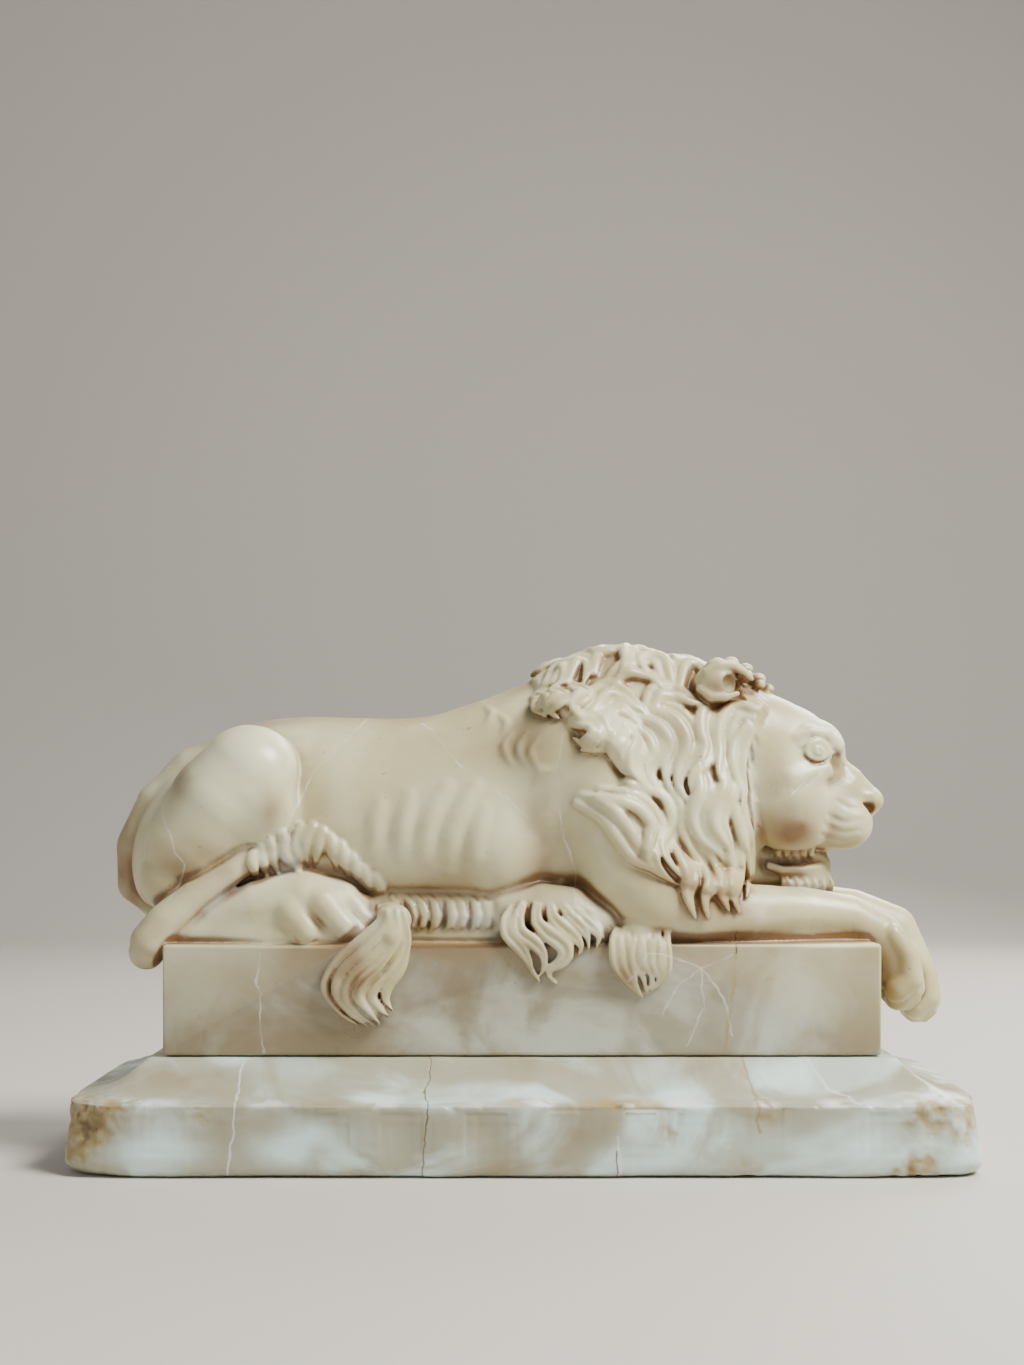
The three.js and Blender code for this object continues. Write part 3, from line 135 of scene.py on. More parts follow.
def loft(stations, taper):     # stations [x, top, bottom, half width], slimmer above by the taper
    s = np.asarray(stations, float)
    first, last = s[0, 0], s[-1, 0]
    widest = s[:, 3].max() * (1 + taper)

    def distance(x, y, z):
        px, py, pz = x / stretch[0], y / stretch[1], (z - blockTop) / stretch[2]
        sx = np.clip(px, first, last)
        top = smoothStations(stations, sx, 1)
        bottom = smoothStations(stations, sx, 2)
        half = (top - bottom) / 2
        rise = (pz - (top + bottom) / 2) / half
        wide = smoothStations(stations, sx, 3) * (1 - taper * np.clip(rise, -1, 1))
        around = np.sqrt((py / wide) ** 2 + rise ** 2)
        inward = (around - 1) * np.minimum(wide, half)
        past = np.abs(px - sx)
        return (np.sqrt(np.maximum(inward, 0) ** 2 + past ** 2) + np.minimum(inward, 0)) * swell
    return place([first, -widest, s[:, 2].min()]), place([last, widest, s[:, 1].max()]), distance


def roundedSlab(low, high, radius):
    low, high = np.asarray(low, float), np.asarray(high, float)
    middle, half = (low + high) / 2, (high - low) / 2 - radius

    def distance(x, y, z):
        dx = np.abs(x - middle[0]) - half[0]
        dy = np.abs(y - middle[1]) - half[1]
        dz = np.abs(z - middle[2]) - half[2]
        outside = np.sqrt(np.maximum(dx, 0) ** 2 + np.maximum(dy, 0) ** 2 + np.maximum(dz, 0) ** 2)
        return outside + np.minimum(np.maximum(np.maximum(dx, dy), dz), 0) - radius
    return low, high, distance


# A block of clay: distances on a grid. Forms are pressed on or cut away with a fillet.
class Clay:
    def __init__(self, low, high, step):
        self.low = np.asarray(low, float)
        self.step = step
        self.shape = tuple(int(math.ceil((h - l) / step)) + 1 for l, h in zip(low, high))
        self.values = np.full(self.shape, farAway, np.float32)

    def window(self, low, high, margin):
        first = np.floor((np.asarray(low) - margin - self.low) / self.step).astype(int)
        last = np.ceil((np.asarray(high) + margin - self.low) / self.step).astype(int) + 1
        first = np.clip(first, 0, self.shape)
        last = np.clip(last, 0, self.shape)
        if (last <= first).any():
            return None, None
        axes = [(self.low[a] + self.step * np.arange(first[a], last[a])).astype(np.float32) for a in range(3)]
        return tuple(slice(f, l) for f, l in zip(first, last)), np.meshgrid(*axes, indexing="ij", sparse=True)

    def press(self, form, fillet, inwards=False):
        low, high, distance = form
        k = max(fillet, 0.01) * swell
        part, grid = self.window(low, high, k + 2 * self.step)
        if part is None:
            return
        d = distance(*grid).astype(np.float32)
        a = self.values[part]
        if inwards:
            h = np.maximum(k - np.abs(a + d), 0) / k
            self.values[part] = np.maximum(a, -d) + h * h * (k / 4)
        else:
            h = np.maximum(k - np.abs(a - d), 0) / k
            self.values[part] = np.minimum(a, d) - h * h * (k / 4)

    def add(self, form, fillet):
        self.press(form, fillet)

    def cut(self, form, fillet):
        self.press(form, fillet, inwards=True)

    def raiseInside(self, outline, heights, rim):     # thickens what lies inside an outline in x, z
        x = (self.low[0] + self.step * np.arange(self.shape[0])) / stretch[0]
        z = (self.low[2] + self.step * np.arange(self.shape[2]) - blockTop) / stretch[2]
        px, pz = np.meshgrid(x, z, indexing="ij")
        inside = np.zeros(px.shape, bool)
        away = np.full(px.shape, farAway)
        for (ax, az), (bx, bz) in zip(outline, outline[1:] + outline[:1]):
            ex, ez = bx - ax, bz - az
            t = np.clip(((px - ax) * ex + (pz - az) * ez) / (ex * ex + ez * ez), 0, 1)
            away = np.minimum(away, np.hypot(px - ax - ex * t, pz - az - ez * t))
            crosses = ((az > pz) != (bz > pz)) & (px < ax + ex * (pz - az) / (ez if ez else 1e-9))
            inside ^= crosses
        t = np.clip(np.where(inside, away, 0) / rim, 0, 1)
        height = np.interp(pz, *heights) * swell * t * t * (3 - 2 * t)
        self.values -= height.astype(np.float32)[:, None, :]


def cornerShares(u):      # the eight grid corners round a point, and each one's share in it
    for a in (0, 1):
        for b in (0, 1):
            for c in (0, 1):
                yield a, b, c, ((u[:, 0] if a else 1 - u[:, 0]) * (u[:, 1] if b else 1 - u[:, 1])
                                * (u[:, 2] if c else 1 - u[:, 2]))


def sampleField(values, low, step, points):
    f = (points - low) / step
    i = np.clip(np.floor(f).astype(int), 0, np.array(values.shape) - 2)
    total = np.zeros(len(points))
    for a, b, c, share in cornerShares(np.clip(f - i, 0, 1)):
        total += share * values[i[:, 0] + a, i[:, 1] + b, i[:, 2] + c]
    return total


class Surface:      # a snapshot of the clay, for laying locks on it
    def __init__(self, clay):
        self.low, self.step, self.values = clay.low, clay.step, clay.values.copy()

    def at(self, points):
        return sampleField(self.values, self.low, self.step, points)

    def normal(self, points):
        steps = np.eye(3) * self.step
        g = np.stack([self.at(points + step) - self.at(points - step) for step in steps], 1)
        return g / np.maximum(np.linalg.norm(g, axis=1, keepdims=True), 1e-6)

    def touch(self, starts, headings):
        p = starts.copy()
        for _ in range(120):
            d = self.at(p)
            p += headings * np.clip(d, -1, 2 * self.step)[:, None] * 0.8
        return p


# Smooth values: the same noise each run, from a seeded lattice
def noiseAt(points, size, seed):
    side = 32
    lattice = np.random.default_rng(seed).random((side, side, side)).astype(np.float32)
    f = points / size
    i = np.floor(f).astype(int)
    u = f - i
    total = np.zeros(len(points))
    for a, b, c, share in cornerShares(u * u * (3 - 2 * u)):
        total += share * lattice[(i[:, 0] + a) % side, (i[:, 1] + b) % side, (i[:, 2] + c) % side]
    return total * 2 - 1


# The body. Side is -1 for the near flank and 1 for the far one.
body = {
    "step": 0.52,             # the grid that the lion is modelled on
    "triangles": 197000,
    "taper": 0.22,
    "trunk": [                # x, top, bottom, half width
        (-110, 42, 12, 7), (-105, 51, 8, 12), (-98, 56.5, 5, 17), (-88, 61.4, 3, 21), (-76, 64.8, 3, 22),
        (-64, 65.8, 4, 22.5), (-50, 65.6, 6, 23.5), (-38, 65.4, 6, 25), (-26, 66.4, 6, 27), (-14, 70.2, 5, 28),
        (-4, 74, 4, 27.6), (6, 77.4, 3, 25.4), (16, 80.6, 3, 24.6), (30, 83, 2, 24.6), (44, 80.6, 3, 23),
        (56, 77.6, 8, 20), (66, 72, 16, 16.4),
    ],
    "ribs": [                 # x, z at the lower end, at the middle and at the upper end
        ((-42.8, 26), (-42, 34), (-41, 40)), ((-35, 25), (-34.2, 33), (-32.4, 42)),
        ((-28.2, 24), (-26.6, 34), (-21.6, 45)), ((-21.4, 21), (-19.6, 32), (-13.5, 44.6)),
        ((-13.8, 21), (-13, 30), (-10.6, 38)),
    ],
    "ribRadius": 3.0,
    "ribSink": 2.0,           # how deep the ribs lie under the skin
    "hindToes": [             # knuckle, tip and radius
        ((-66, -29, 9.4), (-61.4, -30.6, 3.4), 4.4), ((-57, -28.4, 11.4), (-50.6, -29.6, 4.2), 4.5),
        ((-51, -24, 12.4), (-44.8, -25.4, 6.2), 4.2), ((-51, -18, 11.6), (-44.4, -19.4, 7), 4.2),
    ],
    "frontToes": [(-13.4, -13.2, 0), (-10, -16, 1.2), (-6.4, -16.4, 1.4), (-3, -15, 0.6)],      # y, z, bulge
    "farPawReach": 1,         # the far forepaw reaches further; 0 would make the two alike
}


def buildBody(clay):
    clay.add(loft(body["trunk"], body["taper"]), 4)
    clay.add(egg((50, 0, 24), (20, 20, 20)), 6)
    clay.add(limb([(-92, 0, 1, 12), (-60, 0, 2, 17), (0, 0, 2, 20), (50, 0, 2, 18), (84, 0, 0, 8)]), 4)
    clay.add(limb([
        (-98, 0, 48, 8), (-108, 0, 39, 8), (-114.6, 0, 27, 7), (-115.6, 1, 16, 6), (-106, 3, 7, 5),
    ]), 3)      # root of the tail, down the rump
    for side in (-1, 1):
        buildLegs(clay, side)
    skin = Surface(clay)
    t = np.linspace(0, 1, 9)
    for side in (-1, 1):      # ribs showing softly through the flank
        for spine in body["ribs"]:
            line = flankLine(skin, spine, side)(t, 0 * t, 0 * t - body["ribSink"])
            clay.add(tube(line, body["ribRadius"] * np.sin(0.5 + 2.1 * t) ** 0.5), 2)


def buildLegs(clay, side):
    def lump(centre, radii, lean, fillet):
        clay.add(egg((centre[0], -centre[1] * side, centre[2]), radii, lean), fillet)

    def cord(points, fillet):
        clay.add(limb(mirrored(points, side)), fillet)

    # Buttock and thigh, whose lower end overhangs the shank at the knee
    lump((-102, -10, 28), (12, 10, 20), -18, 4)
    cord([(-79.6, -15.6, 48, 14.8), (-87, -15.4, 39, 16.4), (-96, -16, 27, 14.2),
          (-101.4, -17.4, 18, 9.8)], 1.2)
    lump((-77, -18.6, 39), (12, 12, 15), 20, 3)
    # Shank, and the hock past the end of the block
    cord([(-76, -21, 27, 4.6), (-84, -25, 20.2, 4), (-94, -27, 13.4, 4.6),
          (-102, -27.4, 6.2, 5.4), (-106.4, -27.4, 0.4, 5.9), (-107.6, -27, -2.4, 5.2)], 1.2)
    # Hind foot along the block, with its toes
    cord([(-100, -23, 1, 4), (-88, -23, 6, 6.4), (-76, -23.4, 9.6, 8), (-63, -23, 11.4, 9.2),
          (-55, -22.4, 9.8, 8.6), (-49, -21.6, 8, 6.6)], 2)
    cord([(-100, -24, 1.4, 4), (-72, -26, 2, 6), (-48, -26, 1.6, 5.4)], 3)
    for knuckle, tip, r in body["hindToes"]:
        middle = [(p + q) / 2 for p, q in zip(knuckle, tip)]
        cord([(*knuckle, r + 0.3), (*middle, r - 0.3), (*tip, r - 0.7)], 1.2)
        x, y, z = tip
        cord([(x + 2.4, y - 0.6, z + 0.8, 1.2), (x + 3.4, y - 0.4, z - 1.4, 0.8)], 0.6)      # claw
    # Swell of the belly behind the elbow
    lump((-6, -18, 25), (11, 11.2, 13), 0, 5)
    # Shoulder blade, upper arm and elbow
    lump((12, -17.4, 51), (15, 12, 20), -24, 6)
    cord([(21, -16.6, 50, 13), (24.6, -18.6, 36, 13.2), (30, -21.4, 21, 13), (38, -23.6, 12.4, 11.8)], 4)
    # Forearm, wrist and paw, which hangs over the end of the block: the far one reaches further
    out = 0 if side < 0 else body["farPawReach"]
    cord([(38, -23.6, 12.4, 11.8), (50, -22.6, 8.6, 10.2), (64, -19.5, 8, 8.6), (82, -13, 8 + out, 7.4),
          (96 + 5 * out, -9.4, 6 + 0.8 * out, 7.2), (106 + 7 * out, -8.2, 0.4 + 1.4 * out, 7.4),
          (110 + 8 * out, -8, -8 - 2 * out, 7.6)], 2)
    cord([(32, -23, 2, 8), (64, -18, 2, 7), (98, -8.4, 0, 6.4)], 2)
    for y, drop, bulge in body["frontToes"]:
        z = drop - 4.8 * out
        x = 109 + bulge + 8 * out
        cord([(x, y, z + 15, 3), (x + 4.2, y, z + 8.6, 3.7), (x + 4.8, y, z + 2, 4.2),
              (x + 1.4, y, z - 1, 4)], 0.9)
        cord([(x + 6.4, y, z - 1.6, 1.5), (x + 4, y, z - 4, 1.1)], 0.5)      # claw


head = {
    "eye": (86.2, 10.6, 55.2),      # y taken off the middle
    "ball": 3.6,
    "eyeTurn": (0.36, 0.93, 0.06),  # the way it looks out
    "nostril": (102.8, 5, 38.2),
    "teeth": [75.8, 78.4, 81, 83.6, 86],      # x of each upper tooth
    "folds": [                # creases of the muzzle, below the eye and beside the bridge: x and z
        [(90, 37), (95, 34.6), (100, 35.4)], [(89, 34), (94.6, 31.6), (100, 32)],
        [(88, 31), (94, 29.2), (99, 29.6)], [(93, 41), (97.4, 38.6), (101, 38.4)],
        [(88, 49.8), (84, 46.6), (79, 43.6)], [(93.6, 54), (96, 51), (97, 47)],
    ],
}


def buildHead(clay):
    clay.add(egg((68, 0, 55), (20, 17, 18)), 4)
    clay.add(limb([(70, 0, 58, 14.8), (81, 0, 56.6, 12), (87.4, 0, 55.6, 9.8)]), 4)
    clay.add(limb([(89, 0, 50, 7.6), (97, 0, 45.4, 6.4), (103.2, 0, 40.8, 4.8)]), 2)
    clay.add(egg((104.8, 0, 41), (4, 4.9, 3.7), -20), 1)                # tip of the nose
    clay.add(egg((89, 0, 38), (15, 11, 12.4)), 4)
    for side in (-1, 1):
        clay.add(egg((77, side * 10, 41), (13, 8, 14.6), 10), 4)
        clay.add(egg((81, side * 9.4, 33.4), (9.4, 5.6, 7.4)), 3)           # full cheek
        clay.add(egg((96.4, side * 5, 33.8), (8.2, 6.4, 7.4)), 2)           # whisker pad
        clay.add(limb([(80.6, side * 12.6, 59.6, 1.2), (85, side * 11.6, 61, 1.8), (90, side * 9.4, 60, 2.2),
                       (93.6, side * 6.6, 57, 2.4)]), 2)                    # brow
        clay.add(limb([(92, side * 8, 51, 3), (86, side * 12.4, 48.4, 2.6), (79, side * 14.6, 46.6, 2.6)]), 2.4)
        clay.cut(egg((87, side * 14, 55.4), (5, 4, 3.8), -16), 1)
        clay.cut(egg((94.2, side * 9.8, 50.8), (2.4, 2.2, 4.2), 40), 2)     # hollow beside the bridge
        buildEye(clay, side)
        x, y, z = head["nostril"]
        clay.cut(limb([(x - 1.6, side * (y + 1.1), z + 0.8, 1.1), (x + 0.6, side * (y - 0.1), z, 2.1)]), 0.3)
        clay.add(limb([(100.6, side * 4.8, 42, 1.7), (104, side * 4, 42, 2),
                       (106.4, side * 2.8, 40.8, 1.8)]), 0.8)               # wing of the nose
    clay.cut(limb([(105.6, 0, 37.8, 0.6), (104.6, 0, 34, 0.7), (102.4, 0, 30.4, 0.5)]), 0.8)
    buildMouth(clay)


def creaseMuzzle(clay):      # folds of the upper lip, and a fold under the eye
    surface = Surface(clay)
    t = np.linspace(0, 1, 9)
    for side in (-1, 1):
        for spine in head["folds"]:
            line = flankLine(surface, spine, side)(t, 0 * t, 0 * t + 0.2)
            clay.cut(tube(line, 0.1 + 0.4 * np.sin(np.pi * t)), 1.2)


def buildEye(clay, side):
    x, y, z = head["eye"]
    middle = np.array([x, side * y, z])
    ball = head["ball"]
    look = np.array(head["eyeTurn"]) * (1, side, 1)
    look /= np.linalg.norm(look)
    across = np.cross(look, (0, 0, 1)) * -side
    across /= np.linalg.norm(across)
    over = np.cross(across, look)
    over *= np.sign(over[2])

    def ring(width, rise, start, stop, reach=1.0, count=15):
        turn = np.radians(np.linspace(start, stop, count))[:, None]
        wide = math.radians(width)
        outward = across * np.cos(turn) * 1.12 + over * np.sin(turn) * rise
        return middle + ball * reach * (look * math.cos(wide) + outward * math.sin(wide))

    clay.add(egg(middle, (ball,) * 3), 0.3)
    clay.cut(limb([(*p, 0.55) for p in ring(31, 1, 0, 360, 1.08, 25)]), 0.15)
    clay.cut(egg(ring(0, 1, 0, 0, 1.1, 2)[0], (0.9,) * 3), 0.15)
    upperLid = 0.8 + 0.5 * np.sin(np.linspace(0, np.pi, 15))
    clay.add(limb([(*p, r) for p, r in zip(ring(58, 0.86, 0, 180), upperLid)]), 0.2)
    clay.add(limb([(*p, 0.85) for p in ring(58, 0.8, -180, 0)]), 0.2)
    clay.add(limb([(*p, 0.7) for p in ring(80, 0.95, -165, -15, 1.3)]), 0.8)
    clay.add(limb([(*p, 0.8) for p in ring(80, 0.9, 20, 160, 1.3)]), 0.9)
    for end, slope in ((1, -0.5), (-1, -0.2)):      # corners of the lids
        corner = ring(64, 1, 0 if end > 0 else 180, 0, 1.0, 2)[0]
        drawn = corner + across * end * 2.6 + over * slope * 2 - look * 1.2
        clay.add(limb([(*corner, 0.8), (*drawn, 0.5)]), 0.5)


def buildMouth(clay):
    clay.add(limb([(60, 0, 22, 12), (72, 0, 18, 8)]), 3)
    clay.add(egg((80, 0, 17.6), (13, 8.6, 4.2)), 1.5)
    clay.add(egg((87, 0, 19), (5.8, 6.4, 4.8), -20), 2)                     # chin
    for side in (-1, 1):
        clay.cut(limb([(75, side * 11, 24, 2.3), (82, side * 9.6, 24.2, 2.5), (89.6, side * 6.4, 25, 1.7),
                       (96, 0, 26, 1.2)]), 0.6)                             # the parted lips
    clay.add(limb([(62, 0, 24, 9), (80, 0, 24, 6.8), (86, 0, 24, 4.6), (88.4, 0, 23.6, 3.6)]), 0.8)
    for side in (-1, 1):
        for x in head["teeth"]:
            y = side * (8.3 - 0.019 * (x - 74) ** 2)
            clay.add(limb([(x, y - side * 0.3, 27, 1.2), (x + 0.2, y - side * 0.6, 24.8, 1),
                           (x + 0.3, y - side, 23.8, 0.7)]), 0.8)
        clay.add(limb([(73.4, side * 9, 21.6, 1.3), (77, side * 8.8, 20.2, 1.5), (83, side * 7.8, 20, 1.6),
                       (88.4, side * 5, 20.6, 1.6), (91, 0, 21.6, 1.8)]), 1.2)   # lower lip


# One lock of hair: a few strands side by side along a line, thick in the middle and pointed at the
# tip. The strands ripple in and out as they turn from side to side.
def layLock(clay, line, width, strands, rise=1.3, lift=0.4, ripple=0.5, steps=20, fillet=0.6):
    t = np.linspace(0, 1, steps)
    full = 0.5 + 0.5 * np.sin(np.pi * np.minimum(0.12 + t * 1.05, 1))
    half = width / 2 * full * (1 - t ** 3.2) ** 0.8 + 0.25
    height = rise * np.sin(np.pi * np.clip(t * 0.82 + 0.13, 0, 1)) ** 0.6 + lift * t
    height = height + ripple * np.sin(2 * np.pi * (1.5 * t + 0.13 * width)) * np.sin(np.pi * t)
    bead = half / strands
    for s in range(strands):
        beside = 2 * (s + 0.5) / strands - 1 + 0.1 * math.sin(2.3 * s + width)
        fall = 0.55 * half * beside * beside + 0.3 * bead * (s % 2)
        centres = line(t, beside * half, height - fall - bead)
        clay.add(tube(centres, bead * (1.25 - 0.1 * (s % 2)) * swell), fillet)
    centres = line(t, 0 * t, height - bead * 1.15 - half * 0.7)
    clay.add(tube(centres, half * 0.92 * swell), fillet)


def catmull(points, t):
    p = np.asarray(points, float)
    p = np.vstack([2 * p[0] - p[1], p, 2 * p[-1] - p[-2]])
    spans = len(p) - 3
    u = np.clip(t, 0, 1) * spans
    i = np.clip(np.floor(u).astype(int), 0, spans - 1)
    f = (u - i)[:, None]
    a, b, c, d = p[i], p[i + 1], p[i + 2], p[i + 3]
    return 0.5 * (2 * b + (c - a) * f + (2 * a - 5 * b + 4 * c - d) * f ** 2 + (3 * b - a - 3 * c + d) * f ** 3)


def alongside(spine, t, sideways):      # points beside a flat line, and never far past its bends
    p = catmull(spine, t)
    along = catmull(spine, np.minimum(t + 0.03, 1)) - catmull(spine, np.maximum(t - 0.03, 0))
    along /= np.maximum(np.linalg.norm(along, axis=1, keepdims=True), 1e-6)
    return p + np.stack([-along[:, 1], along[:, 0]], 1) * np.broadcast_to(sideways, t.shape)[:, None]


def flankLine(surface, spine, side):      # a line laid on a flank, through points [x, z]
    def line(t, sideways, height):
        starts = np.array([place((x, 60 * side, z)) for x, z in alongside(spine, t, sideways)])
        touched = surface.touch(starts, np.tile([0.0, -side, 0.0], (len(t), 1)))
        return touched + surface.normal(touched) * (height * swell)[:, None]
    return line


# The same over the neck, through points [x, degrees round]. Fold is the millimetres of one degree.
def crownLine(surface, spine, centreZ=45, fold=0.6):
    def line(t, sideways, height):
        p = alongside([(x, a * fold) for x, a in spine], t, sideways)
        turn = np.radians(p[:, 1] / fold)
        ring = zip(p[:, 0], np.cos(turn), np.sin(turn))
        starts = np.array([place((x, -60 * c, centreZ + 60 * s)) for x, c, s in ring])
        touched = surface.touch(starts, np.stack([0 * turn, np.cos(turn), -np.sin(turn)], 1))
        return touched + surface.normal(touched) * (height * swell)[:, None]
    return line


# The mane: the width of each lock and the points [x, z] that it runs through, root to tip,
# from the longest locks over the shoulder up to the short curls of the crest
mane = {
    "strands": 2,
    "rise": 2.3,
    "pad": [                  # the mane's outline, x and z: the stone is thicker within it
        (3, 73), (6, 66), (14, 62), (17, 55), (24, 55), (28, 48), (27, 43), (17, 42.5), (21, 38), (27, 33),
        (31, 26), (38, 20), (46, 15), (54, 12.6), (62, 13), (66, 19), (67, 30), (66, 42), (67, 54), (70, 62),
        (73.4, 68), (70, 77), (60, 88), (40, 96), (20, 94), (6, 84), (1, 77),
    ],
    "padHeights": ((60, 76), (2.4, 1.1)),     # how much thicker, lower down and over the crest
    "padRim": 3.4,
    "fuller": 1.16,           # how much wider the locks are than their spacing
    "locks": [
        (6.4, [(16.3, 40.8), (24, 37), (28.6, 30.5), (32.2, 25), (36.6, 21.5), (41.7, 17.6)]),
        (6.4, [(22, 42.4), (32.2, 40.2), (37.6, 34.1), (37, 29), (36.1, 25.8), (38.5, 22.2), (43.6, 17)]),
        (5.9, [(31.4, 46), (40.7, 42.9), (44, 36.7), (42.6, 31.6), (40, 27.5), (40.4, 23.8), (44.4, 19.3)]),
        (5.5, [(43.2, 32.1), (45, 25.4), (47.5, 19.6), (46.6, 13.3), (49, 7.4)]),
        (6.2, [(46.4, 35), (49, 27.8), (52.2, 22.2), (53.5, 17.6), (51.4, 12.5), (52.5, 7.4)]),
        (5.2, [(55, 29.8), (55.9, 23.2), (57.6, 18.2), (56.9, 13.1), (58.6, 9.1)]),
        (5, [(59.2, 32.1), (60.6, 25.2), (61.2, 19.3), (60, 13.1), (61.6, 8.6)]),
        (5.9, [(61.3, 41.3), (63, 33.4), (65.6, 26.1), (66, 19.3), (63.8, 12.5)]),
        (6.4, [(51.7, 49.3), (52.2, 42.6), (50.1, 36.3), (51.8, 30.7), (55.8, 26.8), (57.6, 22.8)]),
        (7.1, [(58.9, 51), (59.4, 44.4), (56.6, 38.4), (56.1, 33.6), (58.8, 28), (60.7, 23.1)]),
        (5.2, [(30.4, 63.6), (36.6, 60.2), (38.8, 54.8), (36.4, 49.6), (37.4, 45), (41, 41.5)]),
        (5.9, [(32.2, 66.1), (40, 63.4), (44, 57.4), (42.6, 51.9), (41.3, 47.3), (44, 41)]),
        (6.2, [(36.3, 68.4), (44.4, 65.8), (48.8, 59.5), (48.6, 53.8), (45.7, 49), (45.3, 44.3), (48.3, 39.4)]),
        (4.6, [(29.6, 63.2), (27.2, 58.4), (27.2, 53.4), (30.4, 47.5)]),
        (5, [(31, 62.8), (33.5, 57.8), (31.5, 52.5), (32.7, 47.2), (36.6, 42.4)]),
        (4.6, [(66.6, 62.3), (62.8, 55.9), (61.8, 49.6), (63.6, 43.4), (62.1, 36.7)]),
        (5.7, [(60.4, 68.5), (55, 67.3), (53, 61.3), (54.2, 56), (52.3, 51.1), (48.8, 46.9), (48.6, 42.1)]),
        (5.9, [(68.4, 65.6), (62.4, 66.4), (58.4, 60.5), (58.2, 54), (56.6, 47.8), (58.6, 43)]),
        (5, [(16.6, 65.8), (23, 65), (25.4, 60), (22.4, 55.6), (16.7, 54.7)]),
        (3.6, [(14.1, 63.1), (19.2, 62.4), (20.8, 59.2), (17.9, 57), (14.6, 58.1)]),
        (4.6, [(23.4, 66.8), (28.4, 67), (32.4, 64.2), (34, 60.3)]),
        (5.9, [(19.2, 66.6), (23.4, 72.2), (28.6, 71.8), (33, 67.6), (36.4, 64.8)]),
        (6.8, [(36.6, 66.4), (39.8, 72.1), (45.1, 71.8), (50, 69), (56.6, 68.4)]),
        (3.9, [(9.4, 72.8), (12, 69.5), (8.8, 67), (10.8, 63.6)]),
        (3.6, [(4, 71.3), (6.8, 69), (4.8, 66.6), (7.4, 64)]),
        (4.1, [(14.8, 74), (18.2, 70.8), (15, 67.2), (17.1, 63.4)]),
    ],
    # The same over the crest: width, and points [x, degrees round the neck], 90 at the top
    "crest": [
        (4.4, [(8, 70), (11, 80), (14, 78), (12.4, 68), (8.4, 62)]),
        (5.4, [(12, 68), (15.6, 82), (20, 78), (18, 63)]),
        (6.4, [(20, 72), (23, 92), (29.6, 90), (31, 74), (26, 60)]),
        (5.4, [(26, 66), (31, 72), (37, 70), (42, 62)]),
        (8, [(46, 76), (42, 92), (35, 94), (31.6, 82), (33, 68)]),
        (5.4, [(43, 68), (40.4, 80), (35.6, 78), (36.6, 68)]),
        (6.4, [(45, 66), (48, 84), (54, 84), (55.4, 68), (50, 60)]),
        (4.4, [(56, 70), (58, 80), (63, 82), (65, 74)]), (4.6, [(14, 102), (10.4, 94), (6.4, 90), (3.4, 94)]),
        (5.6, [(24, 104), (19, 92), (13.6, 94), (9.6, 88)]), (5.6, [(37, 108), (33, 98), (27, 98), (23, 92)]),
        (6, [(62, 100), (56, 92), (50, 95), (46, 102)]),
    ],
    "knobs": [                # small curls behind the forehead: x, y, z, size
        (57.6, -8, 80.4, 3.2), (62, -4, 81, 3.1), (66.6, -2, 79.4, 2.9), (70.6, -2, 76.6, 2.7),
        (60, 5, 81, 3.1), (65, 6, 79.4, 2.9), (74, 1, 74, 2.2), (66.4, -8, 77.4, 2.4), (69, 5, 77, 2.6),
        (70.6, -7, 75, 2),
    ],
    "crestRise": 2.5,
    "down": [                 # fine hair from the ear to the face: x and z of its ends
        (63, 77.6, 71, 73.4), (64, 75.4, 72.6, 69.6), (65, 73, 72.4, 66), (66, 70.6, 71.4, 62.4),
        (67, 68, 70.6, 58), (66.4, 62, 69.4, 54), (65.4, 56, 68.4, 47), (65.8, 49, 68.8, 40),
        (66.6, 42, 69.8, 33), (67.4, 35, 70, 26),
    ],
    "blade": [                # faint crescents of hair over the shoulder blade
        [(-5.6, 60), (-4.4, 63.4), (-6.6, 66)], [(-10.6, 63), (-8.6, 66), (-10.4, 68.4)],
        [(-3, 51), (-5, 56), (-3, 60)], [(1, 51), (-0.8, 55.6), (1.4, 60.4)],
        [(4.4, 50), (2.6, 54.6), (5, 58.6)], [(3.6, 46), (5.6, 48.6), (9, 49.6)],
    ],
}


